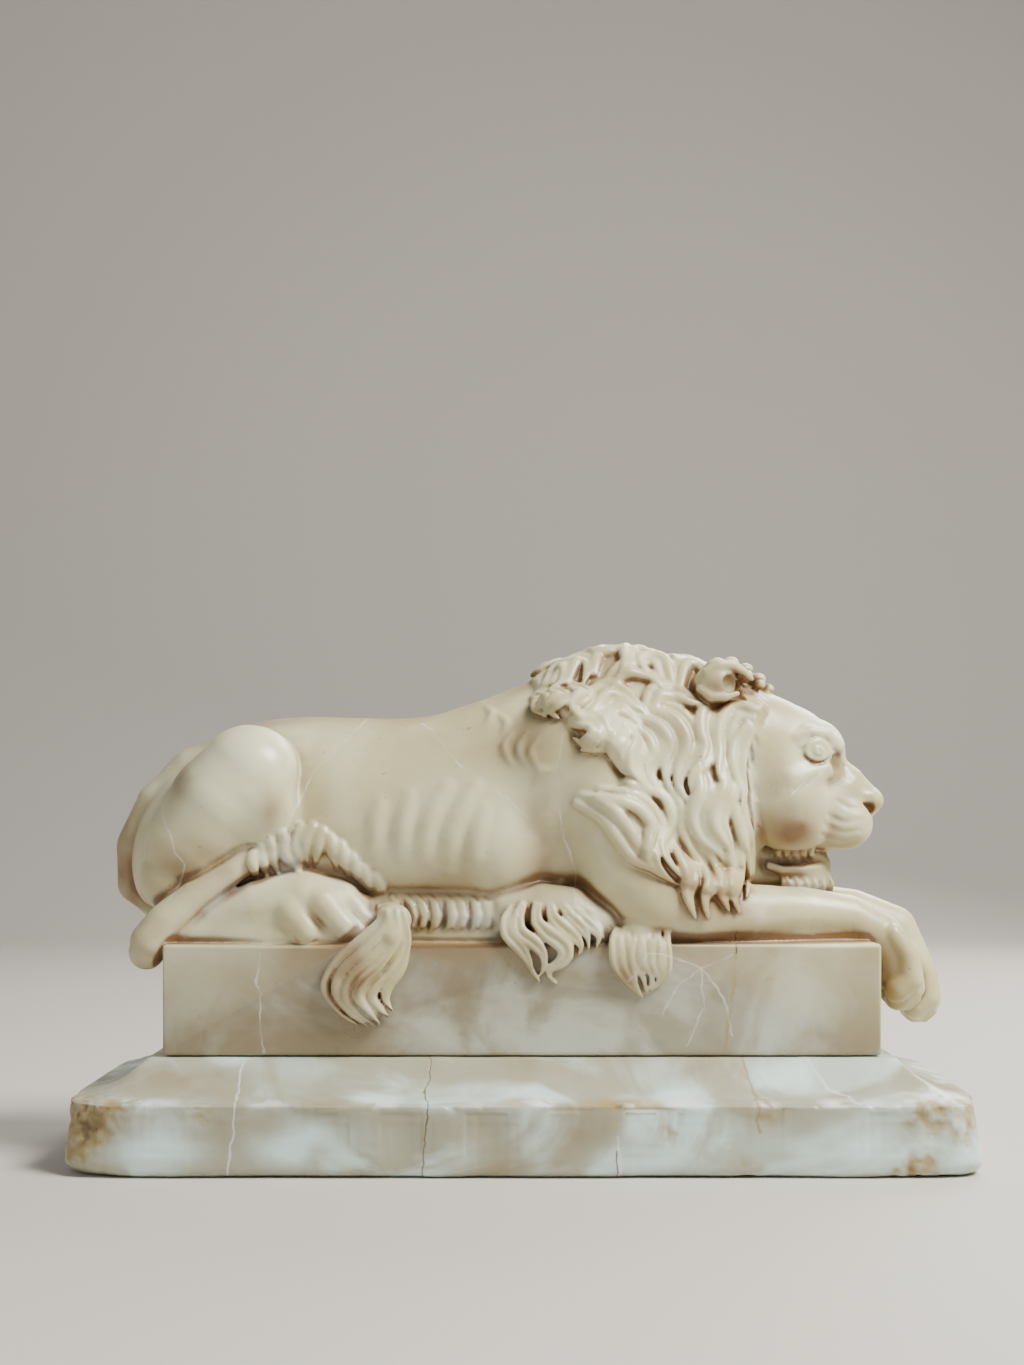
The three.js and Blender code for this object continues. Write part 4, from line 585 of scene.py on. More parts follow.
def buildMane(clay):
    clay.add(egg((52, 0, 36), (15, 25.6, 24)), 5)
    clay.raiseInside(mane["pad"], mane["padHeights"], mane["padRim"])
    rng = np.random.default_rng(7)
    base = Surface(clay)
    for side in (-1, 1):
        for width, spine in mane["locks"]:
            drift = rng.normal(0, 0.7, 2) if side > 0 else (0, 0)
            shifted = [(x + drift[0], z + drift[1]) for x, z in spine]
            layLock(clay, flankLine(base, shifted, side), width * mane["fuller"], mane["strands"], mane["rise"])
    for width, spine in mane["crest"]:
        broad = width * mane["fuller"]
        layLock(clay, crownLine(base, spine), broad, mane["strands"], mane["crestRise"])
        if spine[-1][1] < 87:
            far = [(x + rng.normal(0, 0.6), 180 - a) for x, a in spine]
            layLock(clay, crownLine(base, far), broad, mane["strands"], mane["crestRise"])
    for x, y, z, size in mane["knobs"]:
        clay.add(egg((x, y, z), (size, size * 0.9, size * 0.8), 20), 1)
    t = np.linspace(0, 1, 10)
    for side in (-1, 1):
        for x0, z0, x1, z1 in mane["down"]:
            for i in range(3):
                spine = [(x0, z0 - 0.9 * i), ((x0 + x1) / 2 - 0.8, (z0 + z1) / 2 + 0.8 - i),
                         (x1 - 0.6 * i, z1 - 1.2 * i)]
                centres = flankLine(base, spine, side)(t, 0 * t, 0 * t)
                onHead = centres[:, 1] * side > 0      # leaves out what would pass over the head
                if onHead.sum() > 1:
                    clay.add(tube(centres[onHead], 0.8 * (1 - t[onHead] * 0.75)), 0.4)
        for spine in mane["blade"]:
            centres = flankLine(base, spine, side)(t, 0 * t, 0 * t - 0.4)
            clay.add(tube(centres, 0.2 + 0.9 * np.sin(np.pi * t)), 1.4)


hair = {
    "tuft": [                 # strands of the tail's tuft, seen from the side: x and z
        [(-39.2, 9.4), (-40.6, 5.7), (-48.5, -1.3), (-53.5, -7), (-55.2, -12.6), (-51.3, -18.8),
         (-46.2, -22.7)],
        [(-38.1, 9.4), (-38.6, 4.9), (-45.7, -2.7), (-50.7, -7.5), (-52.1, -13.2), (-48.5, -18.8),
         (-43.4, -23)],
        [(-36.9, 9.4), (-37.2, 2.9), (-42.8, -4.1), (-47.9, -9.2), (-49.6, -14), (-46.5, -18.8), (-41.4, -23)],
        [(-35.5, 9.4), (-35.8, 1.5), (-40, -5.5), (-44.5, -9.8), (-46.2, -14.3), (-43.4, -18.2),
         (-40.3, -22.4)],
        [(-34.4, 9.4), (-34.1, 1.5), (-37.2, -6.4), (-41.2, -11.2), (-42.3, -14.8), (-39.7, -18.2),
         (-37.5, -20.5)],
        [(-33.6, 9.4), (-32.8, 1.5), (-34.4, -6.4), (-37.8, -11.7), (-38.6, -15.4), (-36.6, -18.8)],
    ],
    "chest": [                # width, and x and z of the locks that hang behind the elbow
        (3.4, [(-3.1, 9.8), (-4.5, 7), (-4, 3), (-0.9, -0.4), (1.4, -3.8), (2.8, -7.2), (5.4, -11)]),
        (3.8, [(0.3, 11.2), (-1.2, 7.6), (-0.8, 3.6), (2.9, 0.8), (5.8, -2.3), (6.2, -6), (4.9, -9.1)]),
        (4.2, [(4.3, 11.2), (4.1, 6.4), (7.3, 3), (11, 0.5), (12.4, -2.1), (11, -4.9), (8.2, -6.6),
               (7.8, -8.9), (9.9, -11.1)]),
        (3.4, [(7.9, 11.2), (8.7, 7.6), (11.6, 4.7), (15, 1.9), (16.7, -0.9), (15.4, -3.2)]),
        (3, [(11.2, 11.2), (13.3, 8.1), (16.4, 5.3), (18.4, 2.2), (18.9, -1.5)]),
        (2.8, [(14.3, 10.2), (16.7, 7.4), (19.8, 5), (21.8, 2.2), (20.8, -1.5)]),
        (2.2, [(18.7, 7.2), (21.5, 5), (23.2, 1.6)]),
    ],
    "chestDepths": [31.4, 32.8, 33.6, 34, 34.2, 34.2, 34, 33.8, 33.6],      # y of their points
    "elbow": [
        (3.2, [(26.4, 1.4), (26.8, -4.8), (29.4, -10.4), (33.2, -14.6)]),
        (3.4, [(29, 1), (29.8, -5.6), (31.8, -10.6), (34.2, -15)]),
        (3.2, [(32.5, 1.1), (31.9, -3.7), (34.1, -8.8), (35, -13.3)]),
        (3, [(35.2, 0.4), (35.3, -4.8), (36.8, -8.8), (35.6, -13.6)]),
        (3, [(38, 0.2), (37.8, -5.4), (38.9, -9.1), (36.6, -13)]),
        (2.6, [(40.8, -1), (40.8, -5.9), (40, -9.6), (37.2, -12.4)]),
    ],
    "elbowDepths": [31, 34, 35, 34.6, 33.8],
    "groin": [                # short locks in the fold of the groin
        (3, [(-68.8, 31), (-68.5, 26.6), (-66.2, 23.2), (-64.5, 20)]),
        (3.2, [(-63.9, 32.6), (-65, 28.1), (-64.2, 24.3), (-63.9, 20)]),
        (3.2, [(-60.4, 33), (-62.4, 28.1), (-61.6, 22)]), (3, [(-57.6, 31.8), (-58.7, 27.2), (-59.9, 22)]),
        (3, [(-55.6, 30.1), (-54.4, 26.6), (-53.4, 21)]), (2.8, [(-52.3, 27.8), (-51.2, 23.7), (-49.8, 19)]),
        (2.6, [(-49, 24.6), (-47.5, 20.6), (-46.3, 16.7)]),
        (2.6, [(-45.6, 21.4), (-44.6, 17.7), (-42.6, 13.8)]),
        (2.6, [(-42.2, 18.6), (-40.9, 14.8), (-41.1, 10.1)]),
        (2.2, [(-76.9, 26), (-77.7, 22.6), (-76.6, 18)]),
        (2.2, [(-74.6, 27.6), (-75.1, 23.6), (-73.7, 18.4)]), (2.4, [(-72.2, 29), (-72.2, 25), (-70.2, 19.3)]),
    ],
    "edges": [[(-40, 12.6), (-20, 12.6), (-4, 13), (11.2, 17)], [(11.2, 17), (17, 10.6), (22, 5)]],
    "bellyFrom": -36.6,       # the fringe under the belly, from x to x
    "bellyTo": -3,
    "bellyStrands": 10,
    "beardLocks": 6,
}


def hang(clay, points, width, strands, fillet=0.25):      # a lock that hangs free, thick in the middle
    t = np.linspace(0, 1, 16)
    path = np.array([place(p) for p in catmull(points, t)])
    half = width / 2 * (0.55 + 0.45 * np.sin(np.pi * np.minimum(t * 1.25, 1))) * (1 - t ** 4) ** 0.8 + 0.12
    run = np.gradient(path, axis=0)
    run /= np.linalg.norm(run, axis=1, keepdims=True)
    outward = np.sign(points[0][1])
    beside = np.stack([-run[:, 2], 0 * t, run[:, 0]], 1)
    for s in range(strands):
        b = 2 * (s + 0.5) / strands - 1 if strands > 1 else 0
        centres = path + beside * (b * half)[:, None]
        centres[:, 1] += outward * (0.3 - 0.6 * b * b) * half
        clay.add(tube(centres, half / strands * (1.1 if strands > 1 else 1) * swell), fillet)
    path[:, 1] -= outward * half
    clay.add(tube(path, half * 0.9), fillet)


def buildHair(clay):
    rng = np.random.default_rng(11)
    # The tail comes out past the hind foot and its tuft hangs over the face of the block
    clay.add(limb([(-44, -18, 6, 3.6), (-38, -26, 7.4, 4.2), (-36.2, -31.6, 6.6, 4.8),
                   (-36.6, -34.6, 2, 3.6)]), 1.2)
    t = np.linspace(0, 1, 22)
    count = len(hair["tuft"])
    for i, strand in enumerate(hair["tuft"]):
        across = 2 * i / (count - 1) - 1
        swellOut = np.sin(np.pi * np.clip(t * 0.9 + 0.05, 0, 1))
        path = catmull(strand, t)
        y = -33.6 - 3.4 * swellOut * (1 - 0.75 * across * across) - 0.5 * (i % 2)
        line = [place((x, d, z)) for (x, z), d in zip(path, y)]
        clay.add(tube(line, (1.05 + 0.75 * swellOut) * (1 - 0.75 * t ** 6)), 0.25)
        fine = [place((x + 0.9 * math.sin(7 * u), d - 0.9, z)) for (x, z), d, u in zip(path, y, t)]
        clay.add(tube(fine, (0.5 + 0.45 * swellOut) * (1 - 0.8 * t ** 4)), 0.3)
    clay.add(limb([(-37, -32, 2, 3.4), (-43, -33, -6, 5), (-46.6, -33, -13, 5), (-43, -33, -18, 3.4)]), 0.4)
    surface = Surface(clay)
    for side in (-1, 1):
        for i in range(hair["beardLocks"]):
            x = 77.6 + 2.7 * i
            y = 8.6 - 0.045 * (x - 77) ** 1.8
            hang(clay, [(x, side * y, 18.4), (x + 0.7, side * (y + 0.6), 15.6), (x - 0.5, side * y, 12.8),
                        (x + 0.6, side * (y - 0.4), 11)], 3, 2)
        clay.add(limb([(-42, side * 17, 9, 6), (-20, side * 18.6, 9, 6.4), (2, side * 21, 9, 6.4)]), 2)
        clay.add(limb([(-42, side * 18, 1, 6), (-20, side * 19.6, 1, 6.2), (2, side * 22, 1, 6.4),
                       (24, side * 23, 2, 7)]), 2)
        first, count = hair["bellyFrom"], hair["bellyStrands"]
        for i in range(count):
            x = first + (hair["bellyTo"] - first) * (i + 0.3 * rng.random()) / (count - 1)
            y = side * (22.4 + 0.09 * (x + 38))
            low = 3.2 + 1.4 * rng.random()
            clay.add(limb([
                (x - 1.2, y - side * 1.4, 12.8, 1), (x + 0.2, y + side * 0.6, 10.4, 1.8),
                (x + 0.9, y + side * 1.4, 7.6, 1.9), (x + 0.4, y + side * 1.4, 5.4, 1.5),
                (x - 0.9, y + side, low, 0.7),
            ]), 0.5)
        for spine in hair["edges"]:
            centres = flankLine(surface, spine, side)(t, 0 * t, 0 * t + 0.1)
            clay.add(tube(centres, 0.45 + 0 * t), 1.2)
        clay.add(limb([(-3, side * 24, 9, 6), (6, side * 25, 10, 7), (14, side * 25.4, 9, 7),
                       (22, side * 26, 5, 6)]), 2)
        for width, spine in hair["chest"]:
            points = [(x, side * y, z) for (x, z), y in zip(spine, hair["chestDepths"])]
            hang(clay, points, width * 1.15, 2, 0.4)
        for width, spine in hair["elbow"]:
            rooted = [(spine[0][0] + 0.6, 4.4)] + spine
            points = [(x, side * y, z) for (x, z), y in zip(rooted, hair["elbowDepths"])]
            hang(clay, points, width * 1.2, 2, 0.4)
        clay.add(limb([(33.4, side * 28.4, 3, 5.6), (33.8, side * 29.4, -3, 4.6), (34.4, side * 31, -8.4, 2.8),
                       (34.6, side * 32.2, -13, 1.2)]), 1)
        for width, spine in hair["groin"]:
            layLock(clay, flankLine(surface, spine, side), width * 1.25, 1, 1.7, 0, 0.2, 12, 0.6)


ears = {                      # the rims: x, y off the middle, z and radius
    "over": [(54, 16, 78, 1.6), (57.4, 16, 80, 1.7), (61.6, 15, 80.2, 1.5), (65, 13.6, 78.6, 1.2),
             (67.6, 12.4, 76.4, 0.8)],
    "under": [(52.4, 16, 73, 1.6), (55, 17, 70.8, 1.7), (59, 17, 70.6, 1.4), (63, 16, 71.8, 0.8)],
}


def buildEars(clay):      # cupped forwards, with a thin rim above and below the hollow
    for side in (-1, 1):
        clay.add(egg((56.8, side * 12.4, 75), (6.4, 6, 5.6), 10, side * 15), 1.6)
        clay.cut(egg((62.4, side * 16.6, 74.6), (4, 4.4, 3), -14, side * 20), 0.5)
        for rim in ears["over"], ears["under"]:
            clay.add(limb([(x, side * y, z, r) for x, y, z, r in rim]), 0.9)


def meshFrom(name, clay, triangles):
    grid = openvdb.FloatGrid(farAway)
    grid.copyFromArray(clay.values)
    points, tris, quads = grid.convertToPolygons(0.0, 0.0)
    points = np.asarray(points, float) * clay.step + clay.low
    quads = np.asarray(quads)
    faces = np.vstack([np.asarray(tris).reshape(-1, 3), quads[:, [0, 1, 2]], quads[:, [0, 2, 3]]])
    a, b, c = (points[faces[:, i]] for i in range(3))
    if np.einsum("ij,ij->", a, np.cross(b, c)) < 0:
        faces = faces[:, ::-1]
    mesh = bpy.data.meshes.new(name)
    mesh.vertices.add(len(points))
    mesh.vertices.foreach_set("co", (points / 1000).astype(np.float32).ravel())
    mesh.loops.add(len(faces) * 3)
    mesh.loops.foreach_set("vertex_index", np.ascontiguousarray(faces, np.int32).ravel())
    mesh.polygons.add(len(faces))
    mesh.polygons.foreach_set("loop_start", np.arange(0, len(faces) * 3, 3, dtype=np.int32))
    mesh.update(calc_edges=True)
    piece = bpy.data.objects.new(name, mesh)
    bpy.context.scene.collection.objects.link(piece)
    if triangles < len(faces):
        thin = piece.modifiers.new("thin", "DECIMATE")
        thin.ratio = triangles / len(faces)
        shaped = piece.evaluated_get(bpy.context.evaluated_depsgraph_get())
        thinned = bpy.data.meshes.new_from_object(shaped)
        piece.modifiers.clear()
        piece.data = thinned
        bpy.data.meshes.remove(mesh)
        thinned.name = name
    piece.data.polygons.foreach_set("use_smooth", np.ones(len(piece.data.polygons), bool))
    print(name, "meshed:", len(faces), "triangles, kept", len(piece.data.polygons))
    return piece


def vertexData(piece):      # positions in millimetres, and normals
    mesh = piece.data
    p = np.empty(len(mesh.vertices) * 3, np.float32)
    n = np.empty(len(mesh.vertices) * 3, np.float32)
    mesh.vertices.foreach_get("co", p)
    mesh.vertices.foreach_get("normal", n)
    return p.reshape(-1, 3).astype(float) * 1000, n.reshape(-1, 3).astype(float)


def paint(piece, name, values):
    layer = piece.data.attributes.new(name, "FLOAT", "POINT")
    layer.data.foreach_set("value", np.clip(values, 0, 1).astype(np.float32))


def spots(p, places):      # soft patches: centre, reach and strength
    total = np.zeros(len(p))
    for centre, reach, strength in places:
        away = np.linalg.norm((p - place(centre)) / (np.asarray(reach) * swell), axis=1)
        total = np.maximum(total, strength * np.exp(-(away ** 2) * 1.6))
    return total


finish = {
    # Where the lion is honey brown, real stain and painted shade, and where it is chalky white, real bloom and
    # painted highlight: centre, reach and strength
    # honey brown: real stains, with painted shade at the rump end, under the cheek and forearm, beside the paw
    # and in the crease before the arm
    "honeyAndShade": [
        ((-107, -26, 0), (11, 12, 10), 0.6), ((-118, 0, 22), (9, 16, 22), 0.9),
        ((-50, -38, -6), (10, 12, 13), 0.85), ((-34, -35, 4), (6, 9, 8), 0.4),
        ((79.6, -15, 33.6), (12, 12, 9), 1.1), ((84, -14, 1), (20, 10, 5.4), 0.95),
        ((106, -14, -8), (7, 9, 14), 0.9), ((-72, -30, 38), (7, 10, 9), 0.6),
        ((5, -28, 28), (7, 9, 19), 0.75), ((46, -30, 18), (12, 14, 10), 0.6),
        ((58, -30, 14), (12, 14, 8), 0.7), ((3, -36, -4), (8, 9, 8), 0.6), ((30, -36, -9), (6, 9, 9), 0.55),
        ((57, -18, 74), (7, 9, 7), 0.7), ((-6, -26, 58), (18, 14, 12), 0.6),
        ((-30, -28, 14), (26, 14, 8), 0.45), ((45, -20, 60), (16, 14, 16), 0.3),
        ((-92, -30, 22), (14, 12, 10), 0.7), ((-100, -24, 50), (9, 22, 16), 0.7),
        ((-66, -30, 62), (7, 10, 10), 0.4), ((-60, -28, 44), (8, 10, 18), 0.6),
        ((80, -10, 20), (9, 8, 4), 0.9), ((44, -36, 0), (16, 10, 4), 0.35),
        ((28, -10, 76), (28, 30, 10), 0.35), ((34, -34, 26), (7, 9, 12), 0.4),
        ((96, -8, 44), (8, 8, 8), 0.4), ((72, -14, 66), (10, 12, 9), 0.4),
        ((20, -28, 52), (16, 12, 14), 0.25), ((74, -16, 46), (6, 8, 12), 0.45),
        ((-30, -22, 60), (20, 12, 8), 0.3), ((98, -8, 28), (8, 8, 3), 0.4),
    ],
    # chalky white: real bloom, with painted highlights on the haunch, along its top and on the brow
    "chalkAndHighlight": [
        ((-70, -24, 25), (12, 10, 8), 0.9), ((-50, -26, 20), (10, 10, 8), 0.7),
        ((-84, -28, 12), (9, 8, 8), 0.9), ((-46, -28, 6), (6, 9, 6), 0.8), ((-18, -26, 7), (24, 9, 5), 1.0),
        ((76, -10, 23), (5, 8, 5), 0.8), ((84, -8, 14.6), (9, 9, 4), 0.8), ((72, -22, 9), (8, 10, 7), 0.9),
        ((-79, -34, 52), (9, 10, 15), 0.35), ((-4, -30, 24), (9, 9, 12), 0.45),
        ((44, -36, 4), (18, 9, 4), 0.5), ((20, -34, 6), (6, 9, 6), 0.7), ((66, -20, 50), (4, 12, 20), 0.6),
        ((95, -4, 31), (8, 8, 4), 0.5), ((-44, -38, -19), (6, 9, 5), 0.9), ((92, -10, 62), (8, 7, 6), 0.7),
        ((112, -8, 4), (8, 12, 6), 0.6), ((8, -34, -3), (5, 8, 7), 0.6), ((36, -36, -6), (5, 8, 8), 0.7),
        ((-96, 0, 56), (18, 30, 6), 0.4), ((50, -20, 50), (6, 10, 16), 0.3),
    ],
    # The same on the block: a pale star of veins, and specks at its rear end
    "frost": [
        ((50, -33, -7), (13, 9, 11), 0.75), ((66, -33, -4), (9, 9, 3.5), 0.5),
        ((40, -33, -16), (10, 9, 12), 0.5), ((-92, -33, -7), (8, 9, 4), 0.6),
        ((24, -33, -24), (16, 9, 8), 0.35), ((96, -33, -14), (6, 9, 12), 0.3),
        ((-6, -33, -22), (12, 9, 8), 0.3),
    ],
    "ochre": [((108, -14, -15), (6, 9, 5), 0.8), ((-84, -33, -5), (3, 6, 2), 0.4)],
    "reach": 3.2,             # how far out a hollow is felt for the painted shade in recesses, in millimetres
    "grooveShadeReach": 1.1,       # the same for the painted shade in the narrow grooves
    "under": 0.5,             # painted shade: how much honey brown is added where the stone faces down
    "ripple": 0.14,           # unevenness left by the rasp
}


def finishLion(piece, clay):
    p, n = vertexData(piece)
    rough = noiseAt(p, 5.5, 3) * finish["ripple"] + noiseAt(p, 1.9, 4) * finish["ripple"] * 0.35
    p += n * rough[:, None]
    piece.data.vertices.foreach_set("co", (p / 1000).astype(np.float32).ravel())
    # painted shade: how closely stone crowds round each point, to darken the hollows and grooves
    for name, out in (("hollowShade", finish["reach"]), ("grooveShade", finish["grooveShadeReach"])):
        paint(piece, name, 1 - sampleField(clay.values, clay.low, clay.step, p + n * out) / out)
    onBlock = np.clip((blockTop - 0.6 - p[:, 2]) / 1.5, 0, 1)
    for axis, half in ((1, blockDepth / 2), (0, blockLength / 2)):
        onBlock *= np.clip((half + 0.7 - np.abs(p[:, axis])) / 0.5, 0, 1)
    paint(piece, "block", onBlock)
    # painted shade: faces turned down and away from the key light get honey brown
    under = np.clip(-0.75 * n[:, 2] - 0.25 * n[:, 0] - 0.05, 0, 1) * finish["under"]
    blotch = 0.85 + 0.35 * noiseAt(p, 9, 21) + 0.2 * noiseAt(p, 3.4, 22)
    # real honey stains together with painted shade on downward faces
    paint(piece, "honeyAndShade", (spots(p, finish["honeyAndShade"]) + under) * blotch * (1 - onBlock))
    # real chalky bloom with painted highlights on the lion; real pale veins on the block
    bloomAndHighlight = spots(p, finish["chalkAndHighlight"]) * (1 - onBlock) + spots(p, finish["frost"]) * onBlock
    paint(piece, "chalkAndHighlight", bloomAndHighlight * (0.8 + 0.5 * noiseAt(p, 6, 23)))
    paint(piece, "ochre", spots(p, finish["ochre"]) * (0.8 + 0.6 * noiseAt(p, 2.6, 24)))
    piece.data.update()


def carveLion():
    low, high = place((-124, -41, -30)), place((131, 41, 92))
    low[2] = blockFoot - 1.2
    clay = Clay(low, high, body["step"])
    buildBody(clay)
    print("body modelled")
    buildHead(clay)
    creaseMuzzle(clay)
    buildMane(clay)
    print("head and mane modelled")
    buildEars(clay)
    buildHair(clay)
    half = np.array([blockLength / 2, blockDepth / 2])
    clay.add(roundedSlab((-half[0], -half[1], blockFoot), (half[0], half[1], blockTop), 0.8), 0.6)
    piece = meshFrom("lion_and_block", clay, body["triangles"])
    finishLion(piece, clay)
    return piece


# The moulded base: a band with a hollow moulding above it, worn at the corners and along the edges
plinth = {
    "step": 0.72,
    "triangles": 90000,
    "bandHeight": 20.0,
    "lean": 0.8,
    "footBevel": 1.6,
    "sag": 2.6,
    "corner": 12.0,
    "worn": (0.9, 3.4),       # rounding of the edges, least and most
    "cornerReach": 20.0,      # how far from a corner its wear is felt
    "cornerWear": (6.0, 3.0),      # more rounding at the rear corners and at the front ones
    "chips": 46,
    "chipHeights": (19.6, 0.3),     # along the upper arris and along the foot
    "arris": 20.2,            # the height of the scuffs
    "crust": [                # rough brown places: x, y, z, reach, depth
        (-126, -54, 15, 15, 1.3), (-118, -57, 19, 13, 1.0), (124, -55, 17, 12, 0.9), (112, -57, 20, 12, 0.7),
        (108, -57, 1, 12, 0.6), (62, -57, 1, 8, 0.5), (-127, -44, 17, 14, 0.9), (-88, -57, 20, 8, 0.6),
        (24, -57, 20, 6, 0.5), (13, -57, 19.6, 4, 0.5), (66, -57, 20, 9, 0.55), (40, -57, 13, 5, 0.45),
        (-126, 50, 17, 12, 0.8), (122, 52, 15, 11, 0.7),
    ],
    "pale": [                 # greenish white places: x, y, z, reach along and reach up
        (96, -57, 8, 36, 9), (124, -50, 8, 14, 8), (-60, -57, 9, 16, 7), (-100, -57, 8, 14, 7),
        (34, -57, 5, 14, 5),
    ],
}


def carveBase():
    halfX, halfY = (baseHigh[0] - baseLow[0]) / 2, (baseHigh[1] - baseLow[1]) / 2
    top = baseHigh[2]
    t = np.linspace(0, 1, 40)
    rise = top - plinth["bandHeight"]
    long = math.hypot(stone["cavettoRun"], rise)
    inset = stone["cavettoRun"] * t + plinth["sag"] * np.sin(np.pi * t) * rise / long
    height = plinth["bandHeight"] + rise * t - plinth["sag"] * np.sin(np.pi * t) * stone["cavettoRun"] / long
    height = np.concatenate([[-2, 0, plinth["footBevel"]], height])
    inset = np.concatenate([[plinth["lean"] + plinth["footBevel"]] * 2, [plinth["lean"]], inset])
    slope = np.gradient(inset, height)
    clay = Clay((-halfX - 2, -halfY - 2, -2), (halfX + 2, halfY + 2, top + 2), plinth["step"])
    part, (x, y, z) = clay.window(clay.low, clay.low + np.array(clay.shape) * clay.step, 0)
    drawn = np.interp(z, height, inset).astype(np.float32)
    upright = 1 / np.sqrt(1 + np.interp(z, height, slope).astype(np.float32) ** 2)
    ends = (np.abs(x) - halfX + drawn) * upright
    sides = (np.abs(y) - halfY + drawn) * upright
    shape = np.broadcast_shapes(ends.shape, sides.shape)
    every = 4                 # the wear is worked out at every fourth point of the grid
    grid = np.stack([np.broadcast_to(v, shape)[::every, ::every, ::every].ravel() for v in (x, y, z)], 1)
    wear = noiseAt(grid, 11, 31).reshape(tuple(len(range(0, c, every)) for c in shape))
    for axis in range(3):
        wear = np.repeat(wear, every, axis)
    wear = wear[:shape[0], :shape[1], :shape[2]]
    least, most = plinth["worn"]
    k = least + (most - least) * np.clip(0.5 + 0.7 * wear, 0, 1).astype(np.float32)
    corner = np.exp(-((np.abs(x) - halfX) ** 2 + (np.abs(y) - halfY) ** 2) / plinth["cornerReach"] ** 2)
    k = k + (corner * np.where(x < 0, *plinth["cornerWear"])).astype(np.float32)

    def trim(a, b, k):
        h = np.maximum(k - np.abs(a - b), 0) / k
        return np.maximum(a, b) + h * h * k / 4

    r = plinth["corner"]
    cornerX, cornerY = np.maximum(np.abs(x) - halfX + r, 0), np.maximum(np.abs(y) - halfY + r, 0)
    rounded = np.sqrt(cornerX ** 2 + cornerY ** 2) - r
    solid = trim(trim(ends, sides, k * 0.6), rounded.astype(np.float32), k * 0.8)
    solid = trim(solid, (z - top).astype(np.float32), np.float32(0.7))
    clay.values[part] = trim(solid, (0.05 - z).astype(np.float32), k * 0.75)
    rng = np.random.default_rng(19)
    for i in range(plinth["chips"]):      # chips out of the edge under the moulding and the bottom edge
        u = rng.uniform(-1, 1)
        u = np.sign(u) * abs(u) ** 0.6
        side = rng.integers(0, 6)
        upper = rng.random() < 0.6
        spot = [u * halfX, (-1 if side < 4 else 1) * halfY, plinth["chipHeights"][0 if upper else 1]]
        if side > 4 or side == 0:
            spot = [(-1 if i % 2 else 1) * halfX, u * halfY, spot[2]]
        size = rng.uniform(0.5, 1.5) * (1.5 if abs(u) > 0.85 else 1)
        centre = np.array(spot) - np.array([0, 0, blockTop])
        radii = (size * rng.uniform(0.8, 2), size, size * 0.8)
        clay.cut(egg(centre / stretch, radii, rng.uniform(-30, 30)), 0.3)
    piece = meshFrom("worn_base", clay, plinth["triangles"])
    p, n = vertexData(piece)
    crust = np.zeros(len(p))
    for cx, cy, cz, reach, depth in plinth["crust"]:
        away = np.linalg.norm((p - (cx, cy, cz)) / reach, axis=1)
        crust = np.maximum(crust, depth * np.exp(-(away ** 2) * 2))
    pits = np.clip(noiseAt(p, 2.4, 41) + 0.3, 0, 1) + 0.7 * np.clip(noiseAt(p, 1.2, 42), 0, 1)
    p -= n * (crust * pits * 0.9 + 0.08 * (1 + noiseAt(p, 4, 43)))[:, None]
    p[:, 2] = np.maximum(p[:, 2], 0)
    piece.data.vertices.foreach_set("co", (p / 1000).astype(np.float32).ravel())
    edge = np.exp(-((p[:, 2] - 19) / 2.2) ** 2) * (np.abs(n[:, 2]) > 0.15)
    stain = np.clip(noiseAt(p * (1, 1, 0), 13, 44) * 1.6 - 0.25, 0, 1)
    paint(piece, "crust", np.clip(crust * 0.9 * (0.55 + pits), 0, 1) + 0.9 * edge * stain)
    pale = np.zeros(len(p))
    for cx, cy, cz, reach, high in plinth["pale"]:
        away = ((p[:, 0] - cx) / reach) ** 2 + ((p[:, 1] - cy) / 12) ** 2 + ((p[:, 2] - cz) / high) ** 2
        pale = np.maximum(pale, np.exp(-1.4 * away))
    paint(piece, "pale", pale * (1 + 0.7 * noiseAt(p, 7, 46)) * (1 - np.clip(crust, 0, 1)))
    onArris = np.exp(-((p[:, 2] - plinth["arris"]) / 0.9) ** 2)
    paint(piece, "scuff", onArris * np.clip(noiseAt(p, 6, 45) * 1.4 + 0.2, 0, 1))
    piece.data.update()
    return piece


